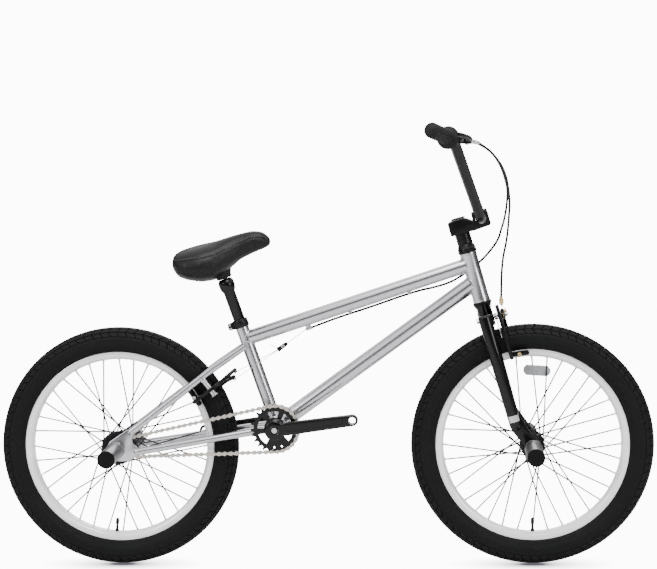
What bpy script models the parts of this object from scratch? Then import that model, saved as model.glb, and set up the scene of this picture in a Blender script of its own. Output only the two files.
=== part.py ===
"""A 20 inch freestyle BMX bike, as an assembly of separate pieces.

Metres, +Z up. +X is forwards, -Y is the rider's right, the chain side. The
origin is on the ground, midway between the two wheel axles.
"""
import math

import bmesh
import bpy
from mathutils import Matrix, Vector

GAP = 0.0003            # clearance between pieces that touch

# ---- overall geometry ----
WHEELBASE = 0.902
HEAD_ANGLE = math.radians(74.5)
SEAT_ANGLE = math.radians(71.3)
HEAD_MIDDLE = Vector((WHEELBASE / 2 - 0.121, 0.0, 0.628))      # behind the front axle
BB_CENTRE = Vector((0.347 - WHEELBASE / 2, 0.0, 0.306))        # ahead of the rear axle

# ---- wheels ----
TYRE_DIA = 0.526
TYRE_WIDTH = 0.058
TYRE_WALL = 0.0040
TYRE_BEAD = math.radians(127)   # half of the arc that the casing covers
RIM_DIA = 0.418
RIM_DEPTH = 0.017
RIM_WIDTH = 0.032
RIM_WALL = 0.0022
RIM_WELL = 0.0075               # depth of the well the tyre sits over
SPOKE_COUNT = 36
SPOKE_DIA = 0.0024
SPOKE_CROSS = 6         # rim holes between a spoke's own hub hole and its rim hole
SPOKE_RIM_OFFSET = 0.0012       # of a spoke's rim end from the rim's middle
SPOKE_SEAT = 0.0026     # a spoke's distance from the flange's middle, either side
SPOKE_TIE_DEPTH = 0.0030        # of the thin band that ties the nipple ends
FRONT_FLANGE_DIA = 0.052
REAR_FLANGE_DIA = 0.058
REAR_DRIVE_FLANGE_DIA = 0.074
FLANGE_OFFSET = 0.031
FLANGE_THICK = 0.0036
HUB_SHELL_DIA = 0.032
FRONT_OLD = 0.100       # over-locknut distance, between the dropouts
REAR_OLD = 0.110
LOCKNUT_DIA = 0.022
FRONT_AXLE_DIA = 0.0095
REAR_AXLE_DIA = 0.014
NUT_DIA = 0.023
NUT_THICK = 0.008
AXLE_TIP = 0.004        # thread standing out of the nut

# ---- pegs ----
PEG_DIA = 0.038
PEG_LENGTH = 0.114
PEG_WALL = 0.0035
PEG_END = 0.004
PEG_VENT = 0.0015        # radius of the hole in the end cap

# ---- frame tubes, outside diameters and walls ----
HEAD_TUBE_DIA = 0.036
HEAD_TUBE_LENGTH = 0.109
HEAD_TUBE_WALL = 0.0020
TOP_TUBE_DIA = 0.0318
DOWN_TUBE_DIA = 0.0349
SEAT_TUBE_DIA = 0.0286
SEAT_TUBE_WALL = 0.0016
TUBE_WALL = 0.0015
TOP_TUBE_AT_HEAD = 0.0298      # above the head tube's middle, along its axis
DOWN_TUBE_AT_HEAD = -0.0094
TOP_TUBE_AT_SEAT = 0.2025      # above the bottom bracket, along the seat tube
SEAT_TUBE_LENGTH = 0.247
BB_SHELL_DIA = 0.043
BB_SHELL_WIDTH = 0.068
BB_SHELL_WALL = 0.0025

# ---- stays and dropouts ----
CHAINSTAY_FRONT_DIA = 0.0172
CHAINSTAY_REAR_DIA = 0.0160
CHAINSTAY_AT_BB = 0.0305       # half spacing at the bottom bracket
SEATSTAY_DIA = 0.0162
SEATSTAY_AT_SEAT = 0.0190      # half spacing at the seat tube
SEATSTAY_BEND = Vector((0.219 - WHEELBASE / 2, 0.037, 0.4415))
SEATSTAY_TOP = 0.1905          # above the bottom bracket, along the seat tube
STAY_AT_DROPOUT = 0.0595
DROPOUT_THICK = 0.006
SEATSTAY_END = Vector((0.034, 0.0398))     # from the axle: forwards, up
CHAINSTAY_END = Vector((0.046, -0.0040))

# ---- seat ----
POST_DIA = 0.0254
POST_TOP = 0.345               # above the bottom bracket, along the seat tube
POST_INSERT = 0.100
POST_WALL = 0.0018
CLAMP_WALL = 0.00265
CLAMP_EAR_REACH = 0.012
CLAMP_EAR_WIDTH = 0.016
CLAMP_HEIGHT = 0.018
SADDLE_LENGTH = 0.212
SADDLE_REAR_X = BB_CENTRE.x - 0.2195
SADDLE_HALF_WIDTH = 0.076

# ---- headset, steerer and stem ----
CUP_DIA = 0.041
CUP_HEIGHT = 0.0070
STEERER_DIA = 0.0286
STEERER_WALL = 0.0022
STEM_BOTTOM = 0.0983           # above the head tube's middle, along the axis
STEM_TOP = 0.1305
STEM_REACH = 0.0471
STEM_WIDTH = 0.050
STEM_REAR = -0.0250             # behind the steering axis
SPACER_DIA = 0.0335
BAR_CENTRE = 0.1193            # above the head tube's middle, along the axis
CLAMP_CAP_HEIGHT = 0.0175
CLAMP_CAP_LENGTH = 0.036

# ---- handlebar ----
BAR_DIA = 0.0222
BAR_WALL = 0.0020
BAR_CORNER = Vector((0.0, 0.062, 0.0))     # lower bend, from the clamp centre
BAR_SHOULDER = HEAD_MIDDLE + Vector((-0.0440, 0.190, 0.2950))
BAR_END = HEAD_MIDDLE + Vector((-0.0880, 0.357, 0.3155))
BAR_BEND_RADIUS = 0.036
CROSSBAR_DIA = 0.016
CROSSBAR_HEIGHT = 0.62         # share of the leg's length, from the lower bend
GRIP_DIA = 0.0315
GRIP_LENGTH = 0.128
GRIP_FLANGE_DIA = 0.047
GRIP_FLANGE_THICK = 0.005
GRIP_END_CAP = 0.003

# ---- fork ----
CROWN_DIA = 0.0318
CROWN_BOTTOM = 0.1110          # below the head tube's middle, along the axis
CROWN_WIDTH = 0.071
YOKE_DIA = 0.025
LEG_DIA = 0.0286
LEG_FOOT_DIA = 0.0260
LEG_SPACING = 0.1000
LEG_SETBACK = 0.0037           # behind the steering axis
LEG_TOP = 0.0830
LEG_TAPER_FROM = 0.100          # below the leg's top
LEG_FOOT = 0.3300
FORK_DROPOUT_THICK = 0.005

# ---- cranks and chain ----
CHAIN_PITCH = 0.0127
SPROCKET_TEETH = 25
COG_TEETH = 9
CHAINLINE = 0.0465
SPROCKET_THICK = 0.0030
COG_THICK = 0.0030
DRIVER_SLEEVE_DIA = 0.023
DRIVER_INNER = 0.005            # sleeve on the hub's side of the cog
CHAIN_PLATE = 0.0084
CHAIN_WIDTH = 0.0076
ROLLER_RADIUS = 0.0036
CRANK_LENGTH = 0.1695
CRANK_ANGLE = math.radians(7.2)
CRANK_BOSS_DIA = 0.044
CRANK_EYE_DIA = 0.0250
PEDAL_HOLE_DIA = 0.0144
CRANK_HEIGHT = 0.0290
CRANK_NECK = 0.0300             # where the boss runs into the beam
CRANK_THICK = 0.0150
CRANK_INNER = 0.0580
SPINDLE_DIA = 0.019
SPINDLE_LENGTH = 0.142
SPROCKET_BORE_DIA = 0.0236
SPROCKET_WINDOW_DIA = 0.0150
SPROCKET_WINDOWS_AT = 0.0315
SPROCKET_SOLID_AT = math.radians(278)          # middle of the sector with no window
SPROCKET_WINDOW_STEP = math.radians(60)

# ---- brakes ----
LEVER_AT = 0.212               # half spacing of the lever clamps
LEVER_CLAMP_WIDTH = 0.013
LEVER_CLAMP_WALL = 0.0046
LEVER_PIVOT_REACH = 0.034      # pivot ahead of the handlebar
LEVER_AIM = Vector((0.995, 0.0, -0.100))       # from the handlebar to the lever's pivot
LEVER_LENGTH = 0.108
LEVER_THICK = 0.008
LEVER_SLOT_DEPTH = 0.010       # behind the pivot
LEVER_CHEEK = 0.0035
# the blade from its pivot: ahead of it, and out along the grip
LEVER_BLADE = [
    (-0.007, -0.007), (0.007, -0.009), (0.012, 0.012), (0.018, 0.040), (0.017, 0.085),
    (0.012, 0.106), (0.006, LEVER_LENGTH), (0.008, 0.085), (0.009, 0.045), (0.001, 0.016),
    (-0.007, 0.010),
]
BRAKE_ARM_THICK = 0.008
PAD_LENGTH = 0.044
PAD_HEIGHT = 0.010
PAD_THICK = 0.012
PAD_GAP = 0.0022               # from the rim's side to the pad at rest
BRAKE_TRACK = 0.2025           # radius of the rim where the pads press
CALIPER_AT = 0.0945            # pivot below the head tube's middle
CALIPER_FRONT = 0.0240         # back of the rear arm, ahead of the steering axis
CALIPER_PAD_AHEAD = 0.0462     # pads' middle, ahead of the steering axis
CALIPER_BOLT_DIA = 0.006
CALIPER_SPACER_DIA = 0.014
CALIPER_WASHER = 0.007
UBRAKE_PIVOT = Vector((0.2035 - WHEELBASE / 2, 0.0435, 0.3975))
UBRAKE_ANGLE = math.radians(36.7)
UBRAKE_ARM_END = Vector((0.054, 0.0765))       # cable end: along the stay, across the tyre
UBRAKE_PAD_DROP = 0.043        # pads below the pivot, along the stay
UBRAKE_STANDOFF = 0.0030       # first arm's clearance from the pivot's foot
BOSS_DIA = 0.012
BOSS_INNER = 0.028             # boss's length either side of the arm's foot
BOSS_OUTER = 0.0215

# ---- cables ----
HOUSING_DIA = 0.0050
WIRE_DIA = 0.0016
STOP_AT = 0.1380               # along the top tube from the seat tube's axis
STOP_LENGTH = 0.014
STOP_WIDTH = 0.007
STOP_DROP = 0.0115             # below the top tube
CABLE_DROP = 0.0063            # cable's middle below the top tube, at the stop
HOUSING_DROP = 0.0042          # and along the tube
HANGER_AT = BB_CENTRE + Vector((0.0250, 0.0, 0.1812))          # where the inner wire meets the hanger
HANGER_LENGTH = 0.025
HANGER_WIDTH = 0.008
STRADDLE_NOSE = 0.0042          # half width of the straddle wire round the hanger
HOUSING_UNDER_TUBE = (0.395, 0.280, 0.200)     # along the top tube, from the seat tube
# where each housing runs, from its lever
FRONT_HOUSING = [
    (0.3370, 0.199, 0.9170), (0.3520, 0.190, 0.9090), (0.3697, 0.170, 0.8958),
    (0.3906, 0.135, 0.8703), (0.4015, 0.105, 0.8442), (0.4065, 0.070, 0.8121),
    (0.4075, 0.045, 0.7846), (0.4056, 0.030, 0.7592), (0.3987, 0.000, 0.7068),
    (0.3904, -0.017, 0.6691), (0.3866, -0.029, 0.6333), (0.3856, -0.035, 0.6050),
    (0.3850, -0.035, 0.5840),
]
REAR_HOUSING = [
    (0.3370, -0.199, 0.9170), (0.3470, -0.189, 0.9095), (0.3597, -0.175, 0.9000),
    (0.3790, -0.140, 0.8747), (0.3902, -0.110, 0.8491), (0.3980, -0.080, 0.8169),
    (0.3980, -0.060, 0.7951), (0.3948, -0.030, 0.7621), (0.3870, 0.000, 0.7285),
    (0.3800, 0.018, 0.7061), (0.3640, 0.031, 0.6820), (0.3420, 0.034, 0.6585),
    (0.3180, 0.031, 0.6400), (0.2980, 0.022, 0.6270), (0.2766, 0.010, 0.6165),
    (0.2400, 0.002, 0.6060),
]

# ---- facets round each kind of piece ----
TYRE_STEPS = 40
RIM_STEPS = 40
TUBE_SIDES = 14
SMALL_SIDES = 10

FORE = Vector((math.sin(HEAD_ANGLE), 0.0, math.cos(HEAD_ANGLE)))
UP = Vector((-math.cos(HEAD_ANGLE), 0.0, math.sin(HEAD_ANGLE)))
SEAT_UP = Vector((-math.cos(SEAT_ANGLE), 0.0, math.sin(SEAT_ANGLE)))
SIDE = Vector((0.0, 1.0, 0.0))
FRONT_AXLE = Vector((WHEELBASE / 2, 0.0, TYRE_DIA / 2))
REAR_AXLE = Vector((-WHEELBASE / 2, 0.0, TYRE_DIA / 2))
SPROCKET_PITCH_R = CHAIN_PITCH * SPROCKET_TEETH / (2 * math.pi)
COG_PITCH_R = CHAIN_PITCH * COG_TEETH / (2 * math.pi)

# name: (colour, roughness, metallic)
FINISHES = {
    "raw_steel": ((0.62, 0.62, 0.65), 0.28, 1.0),
    "black_paint": ((0.012, 0.012, 0.013), 0.30, 0.0),
    "black_alloy": ((0.020, 0.020, 0.022), 0.35, 0.6),
    "polished_alloy": ((0.86, 0.86, 0.88), 0.20, 1.0),
    "tyre_rubber": ((0.022, 0.022, 0.023), 0.80, 0.0),
    "grip_rubber": ((0.030, 0.030, 0.032), 0.70, 0.0),
    "saddle_cover": ((0.025, 0.025, 0.027), 0.55, 0.0),
    "spoke_steel": ((0.20, 0.20, 0.21), 0.35, 1.0),
    "chain_steel": ((0.62, 0.58, 0.53), 0.35, 1.0),
    "peg_steel": ((0.35, 0.35, 0.36), 0.40, 1.0),
    "housing_black": ((0.020, 0.020, 0.020), 0.45, 0.0),
    "wire_steel": ((0.70, 0.70, 0.70), 0.30, 1.0),
}


def clear_scene():
    for obj in list(bpy.data.objects):
        bpy.data.objects.remove(obj, do_unlink=True)


def material(name):
    made = bpy.data.materials.get(name)
    if made:
        return made
    colour, rough, metal = FINISHES[name]
    made = bpy.data.materials.new(name)
    made.use_nodes = True
    shader = made.node_tree.nodes["Principled BSDF"]
    shader.inputs["Base Color"].default_value = (*colour, 1.0)
    shader.inputs["Roughness"].default_value = rough
    shader.inputs["Metallic"].default_value = metal
    return made


def finish_object(name, mesh_builder, finish, origin=(0, 0, 0)):
    """Turn a bmesh in world coordinates into an object whose origin is given."""
    bmesh.ops.remove_doubles(mesh_builder, verts=mesh_builder.verts, dist=1e-6)
    bmesh.ops.recalc_face_normals(mesh_builder, faces=mesh_builder.faces)
    bmesh.ops.translate(mesh_builder, verts=mesh_builder.verts, vec=-Vector(origin))
    mesh = bpy.data.meshes.new(name)
    mesh_builder.to_mesh(mesh)
    mesh_builder.free()
    mesh.shade_smooth()
    mesh.set_sharp_from_angle(angle=math.radians(35))
    mesh.materials.append(material(finish))
    obj = bpy.data.objects.new(name, mesh)
    obj.location = origin
    bpy.context.collection.objects.link(obj)
    return obj


def frame_of(axis, toward=None):
    """Two unit vectors square to an axis, the first as near `toward` as it can be."""
    axis = axis.normalized()
    guide = Vector(toward) if toward else Vector((0.0, 1.0, 0.0))
    if abs(axis.dot(guide.normalized())) > 0.95:
        guide = Vector((0.0, 0.0, 1.0))
    first = (guide - axis * guide.dot(axis)).normalized()
    return first, axis.cross(first)


def ring(mesh_builder, centre, first, second, radius, sides):
    points = []
    for k in range(sides):
        turn = 2 * math.pi * k / sides
        arm = first * math.cos(turn) + second * math.sin(turn)
        points.append(mesh_builder.verts.new(centre + arm * radius))
    return points


def join_rings(mesh_builder, ring_a, ring_b):
    count = len(ring_a)
    for k in range(count):
        nxt = (k + 1) % count
        mesh_builder.faces.new((ring_a[k], ring_a[nxt], ring_b[nxt], ring_b[k]))


def add_sweep(mesh_builder, points, radii, sides=TUBE_SIDES, wall=None):
    """A round tube along a path: solid, or hollow and open at both ends."""
    points = [Vector(p) for p in points]
    if not isinstance(radii, (list, tuple)):
        radii = [radii] * len(points)
    outer, inner = [], []
    first = None
    for i, point in enumerate(points):
        before = points[max(i - 1, 0)]
        after = points[min(i + 1, len(points) - 1)]
        along = (after - before).normalized()
        first, second = frame_of(along, first)
        outer.append(ring(mesh_builder, point, first, second, radii[i], sides))
        if wall:
            inner.append(ring(mesh_builder, point, first, second, radii[i] - wall, sides))
    for a, b in zip(outer, outer[1:]):
        join_rings(mesh_builder, a, b)
    for a, b in zip(inner, inner[1:]):
        join_rings(mesh_builder, a, b)
    for end in (0, -1):
        if wall:
            join_rings(mesh_builder, outer[end], inner[end])
        else:
            mesh_builder.faces.new(outer[end])


def sweep(name, points, radii, finish, sides=TUBE_SIDES, wall=None, origin=(0, 0, 0)):
    builder = bmesh.new()
    add_sweep(builder, points, radii, sides, wall)
    return finish_object(name, builder, finish, origin)


def add_turned(mesh_builder, profile, centre, axis, steps, closed, start=None):
    """Spin a profile of (radius, height) points about an axis."""
    axis = Vector(axis).normalized()
    first, _ = frame_of(axis, start)
    verts = [mesh_builder.verts.new(centre + first * r + axis * h) for r, h in profile]
    count = len(verts)
    last = count if closed else count - 1
    edges = [mesh_builder.edges.new((verts[k], verts[(k + 1) % count])) for k in range(last)]
    bmesh.ops.spin(mesh_builder, geom=verts + edges, cent=centre, axis=axis,
                   angle=2 * math.pi, steps=steps, use_merge=True)


def turned(name, profile, centre, axis, finish, steps=TUBE_SIDES, closed=True,
           start=None, origin=(0, 0, 0)):
    builder = bmesh.new()
    add_turned(builder, profile, Vector(centre), axis, steps, closed, start)
    return finish_object(name, builder, finish, origin)


def add_plate(mesh_builder, outline, middle, x_dir, y_dir, thick):
    """Extrude a flat outline evenly either side of the plane it is drawn on."""
    normal = x_dir.cross(y_dir).normalized()
    foot = middle - normal * (thick / 2)
    base = [mesh_builder.verts.new(foot + x_dir * x + y_dir * y) for x, y in outline]
    face = mesh_builder.faces.new(base)
    raised = bmesh.ops.extrude_face_region(mesh_builder, geom=[face])
    top = [item for item in raised["geom"] if isinstance(item, bmesh.types.BMVert)]
    bmesh.ops.translate(mesh_builder, verts=top, vec=normal * thick)


def plate(name, outline, middle, x_dir, y_dir, thick, finish, origin=(0, 0, 0)):
    builder = bmesh.new()
    add_plate(builder, outline, middle, x_dir, y_dir, thick)
    return finish_object(name, builder, finish, origin)


def block_outline(length, height):
    """A rectangle about its own middle."""
    x, y = length / 2, height / 2
    return [(-x, -y), (x, -y), (x, y), (-x, y)]


def hide_tool(obj):
    obj.hide_render = True
    obj.display_type = "WIRE"
    return obj


def rod_tool(name, start, end, radius, sides=32):
    """A solid rod used to cut or to join, never a piece of its own."""
    return hide_tool(sweep(name, [start, end], radius, "black_paint", sides))


def combine(obj, tool, operation):
    modifier = obj.modifiers.new(tool.name, "BOOLEAN")
    modifier.operation = operation
    modifier.solver = "EXACT"
    modifier.object = tool
    return obj


def cut(obj, *tools):
    for tool in tools:
        combine(obj, tool, "DIFFERENCE")
    return obj


def weld(obj, *tools):
    for tool in tools:
        combine(obj, hide_tool(tool), "UNION")
    return obj


def head(fore, side, up):
    """A point by its distances from the head tube's middle."""
    return HEAD_MIDDLE + FORE * fore + SIDE * side + UP * up


def seat(up, side=0.0):
    """A point on the seat tube's axis, measured up from the bottom bracket."""
    return BB_CENTRE + SEAT_UP * up + SIDE * side


def side_name(sign):
    return "right" if sign < 0 else "left"


def smooth_route(points, count):
    """Evenly spaced points on a smooth curve through a route's own points."""
    pts = [Vector(p) for p in points]
    pts = [pts[0] * 2 - pts[1]] + pts + [pts[-1] * 2 - pts[-2]]
    fine = []
    for a, b, c, d in zip(pts, pts[1:], pts[2:], pts[3:]):
        for k in range(20):
            t = k / 20
            fine.append(0.5 * ((2 * b) + (c - a) * t + (2 * a - 5 * b + 4 * c - d) * t * t
                               + (3 * b - a - 3 * c + d) * t ** 3))
    fine.append(pts[-2])
    reach = [0.0]
    for a, b in zip(fine, fine[1:]):
        reach.append(reach[-1] + (b - a).length)
    even = []
    step = 0
    for k in range(count):
        want = reach[-1] * k / (count - 1)
        while step < len(reach) - 2 and reach[step + 1] < want:
            step += 1
        share = (want - reach[step]) / (reach[step + 1] - reach[step])
        even.append(fine[step].lerp(fine[step + 1], share))
    return even


def cord(name, route, diameter, finish, count, origin=(0, 0, 0)):
    """A cable as a bevelled curve with closed ends."""
    curve = bpy.data.curves.new(name, "CURVE")
    curve.dimensions = "3D"
    curve.bevel_depth = diameter / 2
    curve.bevel_resolution = 2
    curve.use_fill_caps = True
    spline = curve.splines.new("POLY")
    points = smooth_route(route, count)
    spline.points.add(len(points) - 1)
    for place, point in zip(spline.points, points):
        place.co = (*(point - Vector(origin)), 1.0)
    curve.materials.append(material(finish))
    obj = bpy.data.objects.new(name, curve)
    obj.location = origin
    bpy.context.collection.objects.link(obj)
    return obj


def rounded_path(corners, radius, steps=4):
    """A path through corners, each turned with an arc."""
    corners = [Vector(c) for c in corners]
    path = [corners[0]]
    for before, here, after in zip(corners, corners[1:], corners[2:]):
        to_before = (before - here).normalized()
        to_after = (after - here).normalized()
        half = to_before.angle(to_after) / 2
        reach = radius / math.tan(half)
        centre = here + (to_before + to_after).normalized() * (radius / math.sin(half))
        arm_a = here + to_before * reach - centre
        arm_b = here + to_after * reach - centre
        turn = arm_a.angle(arm_b)
        axis = arm_a.cross(arm_b).normalized()
        for k in range(steps + 1):
            path.append(centre + Matrix.Rotation(turn * k / steps, 3, axis) @ arm_a)
    path.append(corners[-1])
    return path


# ------------------------------------------------------------------ frame

def frame_tubes():
    top = head(0, 0, HEAD_TUBE_LENGTH / 2)
    bottom = head(0, 0, -HEAD_TUBE_LENGTH / 2)
    sweep("head_tube", [bottom, top], HEAD_TUBE_DIA / 2, "raw_steel", 20, HEAD_TUBE_WALL)

    seat_axis = [seat(BB_SHELL_DIA / 4), seat(SEAT_TUBE_LENGTH)]
    seat_tube = sweep("seat_tube", seat_axis, SEAT_TUBE_DIA / 2, "raw_steel",
                      18, SEAT_TUBE_WALL)
    half_bb = SIDE * (BB_SHELL_WIDTH / 2)
    sweep("bb_shell", [BB_CENTRE - half_bb, BB_CENTRE + half_bb], BB_SHELL_DIA / 2,
          "raw_steel", 20, BB_SHELL_WALL)

    past = SIDE * BB_SHELL_WIDTH
    head_tool = rod_tool("head_tool", head(0, 0, -HEAD_TUBE_LENGTH), head(0, 0, HEAD_TUBE_LENGTH),
                         HEAD_TUBE_DIA / 2 + GAP)
    seat_tool = rod_tool("seat_tool", seat(-SEAT_TUBE_LENGTH), seat(2 * SEAT_TUBE_LENGTH),
                         SEAT_TUBE_DIA / 2 + GAP)
    bb_tool = rod_tool("bb_tool", BB_CENTRE - past, BB_CENTRE + past, BB_SHELL_DIA / 2 + GAP)
    cut(seat_tube, bb_tool)

    top_seat, run, _ = top_tube_line()
    top_head = head(0, 0, TOP_TUBE_AT_HEAD)
    top_tool = rod_tool("top_tool", top_seat - run * 0.05, top_head, TOP_TUBE_DIA / 2 + GAP)
    top_tube = sweep("top_tube", [top_seat + run * 0.004, top_head - run * 0.004],
                     TOP_TUBE_DIA / 2, "raw_steel", 18, TUBE_WALL)
    cut(top_tube, head_tool, seat_tool)
    weld(top_tube, cable_stop_shape())

    down_head = head(0, 0, DOWN_TUBE_AT_HEAD)
    down_run = (down_head - BB_CENTRE).normalized()
    down_tube = sweep("down_tube", [BB_CENTRE + down_run * 0.006, down_head - down_run * 0.004],
                      DOWN_TUBE_DIA / 2, "raw_steel", 18, TUBE_WALL)
    cut(down_tube, head_tool, bb_tool, seat_tool)
    return seat_tool, top_tool, bb_tool


def top_tube_line():
    """The top tube's axis at the seat tube, its direction, and the way down from it."""
    start = seat(TOP_TUBE_AT_SEAT)
    run = (head(0, 0, TOP_TUBE_AT_HEAD) - start).normalized()
    return start, run, run.cross(SIDE)


def cable_stop_shape():
    """The brazed stop under the top tube where the rear housing ends."""
    start, run, above = top_tube_line()
    surface = TOP_TUBE_DIA / 2
    high = TUBE_WALL * 0.6 - surface
    low = -surface - STOP_DROP
    half = STOP_LENGTH / 2
    outline = [(-half, low), (half, low), (half, high), (-half, high)]
    return plate("cable_stop_shape", outline, start + run * STOP_AT, run, above, STOP_WIDTH,
                 "raw_steel")


def stays_and_dropouts(seat_tool, top_tool, bb_tool):
    for sign in (-1, 1):
        name = side_name(sign)
        outward = SIDE * sign
        axle_y = outward * STAY_AT_DROPOUT
        seat_end = REAR_AXLE + Vector((SEATSTAY_END.x, 0, SEATSTAY_END.y)) + axle_y
        bend = Vector((SEATSTAY_BEND.x, SEATSTAY_BEND.y * sign, SEATSTAY_BEND.z))
        stay_top = seat(SEATSTAY_TOP) + outward * SEATSTAY_AT_SEAT
        path = rounded_path([seat_end, bend, stay_top], 0.06, 3)
        stay = sweep("seatstay_" + name, path, SEATSTAY_DIA / 2, "raw_steel", 12, TUBE_WALL)
        cut(stay, seat_tool, top_tool)
        foot = ubrake_pivot(sign)
        away = ubrake_axes()[1]
        boss = sweep("boss_" + name, [foot - away * BOSS_INNER, foot + away * BOSS_OUTER],
                     BOSS_DIA / 2, "raw_steel", SMALL_SIDES)
        weld(stay, boss)

        chain_end = REAR_AXLE + Vector((CHAINSTAY_END.x, 0, CHAINSTAY_END.y)) + axle_y
        chain_start = BB_CENTRE + outward * CHAINSTAY_AT_BB
        chainstay = sweep("chainstay_" + name, [chain_start, chain_end],
                          [CHAINSTAY_FRONT_DIA / 2, CHAINSTAY_REAR_DIA / 2],
                          "raw_steel", 12, TUBE_WALL)
        cut(chainstay, bb_tool)

        seat_run = (bend - seat_end).normalized()
        chain_run = (chain_start - chain_end).normalized()
        outline = dropout_outline(seat_run, chain_run)
        middle = REAR_AXLE + outward * ((REAR_OLD + DROPOUT_THICK) / 2)
        dropout = plate("rear_dropout_" + name, outline, middle, Vector((1, 0, 0)),
                        Vector((0, 0, 1)), DROPOUT_THICK, "raw_steel")
        drill = rod_tool("dropout_drill_" + name, REAR_AXLE, REAR_AXLE + outward * 0.1,
                         REAR_AXLE_DIA / 2 + GAP, 24)
        stay_room = rod_tool("stay_room_" + name, seat_end - seat_run * GAP, bend,
                             SEATSTAY_DIA / 2 + GAP)
        chain_room = rod_tool("chain_room_" + name, chain_end - chain_run * GAP, chain_start,
                              CHAINSTAY_REAR_DIA / 2 + 2 * GAP)
        cut(dropout, drill, stay_room, chain_room)


def ubrake_axes():
    """Along the seat stay, and square to it away from the stay."""
    along = Vector((math.cos(UBRAKE_ANGLE), 0, math.sin(UBRAKE_ANGLE)))
    return along, Vector((math.sin(UBRAKE_ANGLE), 0, -math.cos(UBRAKE_ANGLE)))


def ubrake_pivot(sign):
    return Vector((UBRAKE_PIVOT.x, UBRAKE_PIVOT.y * sign, UBRAKE_PIVOT.z))


def dropout_outline(seat_run, chain_run):
    """The rear dropout seen from the side, as distances from the axle."""
    seat_dir = Vector((seat_run.x, seat_run.z)).normalized()
    chain_dir = Vector((chain_run.x, chain_run.z)).normalized()
    seat_side = Vector((-seat_dir.y, seat_dir.x)) * (SEATSTAY_DIA / 2)
    chain_side = Vector((-chain_dir.y, chain_dir.x)) * (CHAINSTAY_REAR_DIA / 2)
    seat_end = SEATSTAY_END - seat_dir * GAP * 2
    chain_end = CHAINSTAY_END - chain_dir * GAP * 2
    points = [seat_end + seat_side, Vector((-0.004, 0.024)), Vector((-0.020, 0.010)),
              Vector((-0.022, -0.008)), Vector((-0.008, -0.022)), Vector((0.030, -0.024)),
              chain_end - chain_side, chain_end + chain_side, Vector((0.036, 0.014)),
              seat_end - seat_side]
    return [tuple(p) for p in points]


def headset_cups():
    """The headset cups, pressed into the head tube's ends."""
    half = HEAD_TUBE_LENGTH / 2
    inner = STEERER_DIA / 2 + GAP
    for name, sign in (("headset_cup_upper", 1), ("headset_cup_lower", -1)):
        foot = head(0, 0, sign * (half + GAP))
        profile = [(inner, 0), (CUP_DIA / 2 - 0.001, 0), (CUP_DIA / 2, 0.0015),
                   (CUP_DIA / 2, CUP_HEIGHT - 0.001), (CUP_DIA / 2 - 0.003, CUP_HEIGHT),
                   (inner, CUP_HEIGHT)]
        turned(name, profile, foot, UP * sign, "black_alloy", 18)


# ------------------------------------------------------------------- seat

def seat_parts():
    collar_low = SEAT_TUBE_LENGTH - CLAMP_HEIGHT
    bore = SEAT_TUBE_DIA / 2 + GAP
    outer = bore + CLAMP_WALL
    collar = [(bore, 0), (outer, 0), (outer, CLAMP_HEIGHT), (bore, CLAMP_HEIGHT)]
    clamp = turned("seat_clamp", collar, seat(collar_low), SEAT_UP, "black_alloy", 18)
    rear = SEAT_UP.cross(SIDE)
    reach = outer - 0.0012
    tip = reach + CLAMP_EAR_REACH
    low, high = 0.001, CLAMP_HEIGHT - 0.001
    outline = [(low, reach), (low, tip), (high, tip), (high, reach)]
    ears = plate("clamp_ears", outline, seat(collar_low), SEAT_UP, rear, CLAMP_EAR_WIDTH,
                 "black_alloy")
    weld(clamp, ears)

    sweep("seat_post", [seat(SEAT_TUBE_LENGTH - POST_INSERT), seat(POST_TOP)],
          SEAT_TUBE_DIA / 2 - SEAT_TUBE_WALL - GAP, "black_paint", 16, POST_WALL, seat(POST_TOP))
    saddle()


def saddle():
    """The padded saddle: cross-sections along its length, lofted into one body."""
    # share of the length, half width, top height, bottom height
    sections = [
        (0.000, 0.040, 0.682, 0.652),
        (0.060, 0.062, 0.692, 0.634),
        (0.160, 0.074, 0.6985, 0.6265),
        (0.300, SADDLE_HALF_WIDTH, 0.7045, 0.6225),
        (0.440, 0.066, 0.7105, 0.6275),
        (0.560, 0.048, 0.7180, 0.6500),
        (0.680, 0.034, 0.7255, 0.6740),
        (0.820, 0.027, 0.7345, 0.6865),
        (0.920, 0.022, 0.7320, 0.6930),
        (1.000, 0.011, 0.7180, 0.7000),
    ]
    builder = bmesh.new()
    rings = []
    for share, half, top, bottom in sections:
        x = SADDLE_REAR_X + SADDLE_LENGTH * share
        rings.append(saddle_ring(builder, x, half, top, bottom))
    for a, b in zip(rings, rings[1:]):
        join_rings(builder, a, b)
    builder.faces.new(rings[0])
    builder.faces.new(rings[-1])
    body = finish_object("saddle", builder, "saddle_cover", seat(POST_TOP))
    socket = rod_tool("saddle_socket", seat(POST_TOP - 0.06), seat(POST_TOP + GAP * 2),
                      POST_DIA / 2 + GAP * 2, 20)
    cut(body, socket)


def saddle_ring(builder, x, half, top, bottom):
    """One cross-section: crowned on top, drawn in underneath."""
    count = 12
    middle = bottom + (top - bottom) * 0.42
    verts = []
    for k in range(count):
        turn = 2 * math.pi * k / count
        across = math.cos(turn)
        rise = math.sin(turn)
        y = half * math.copysign(abs(across) ** 0.75, across)
        z = middle + (top - middle) * rise if rise >= 0 else middle + (middle - bottom) * rise
        verts.append(builder.verts.new((x, y, z)))
    return verts


# --------------------------------------------------------------- steering

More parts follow.
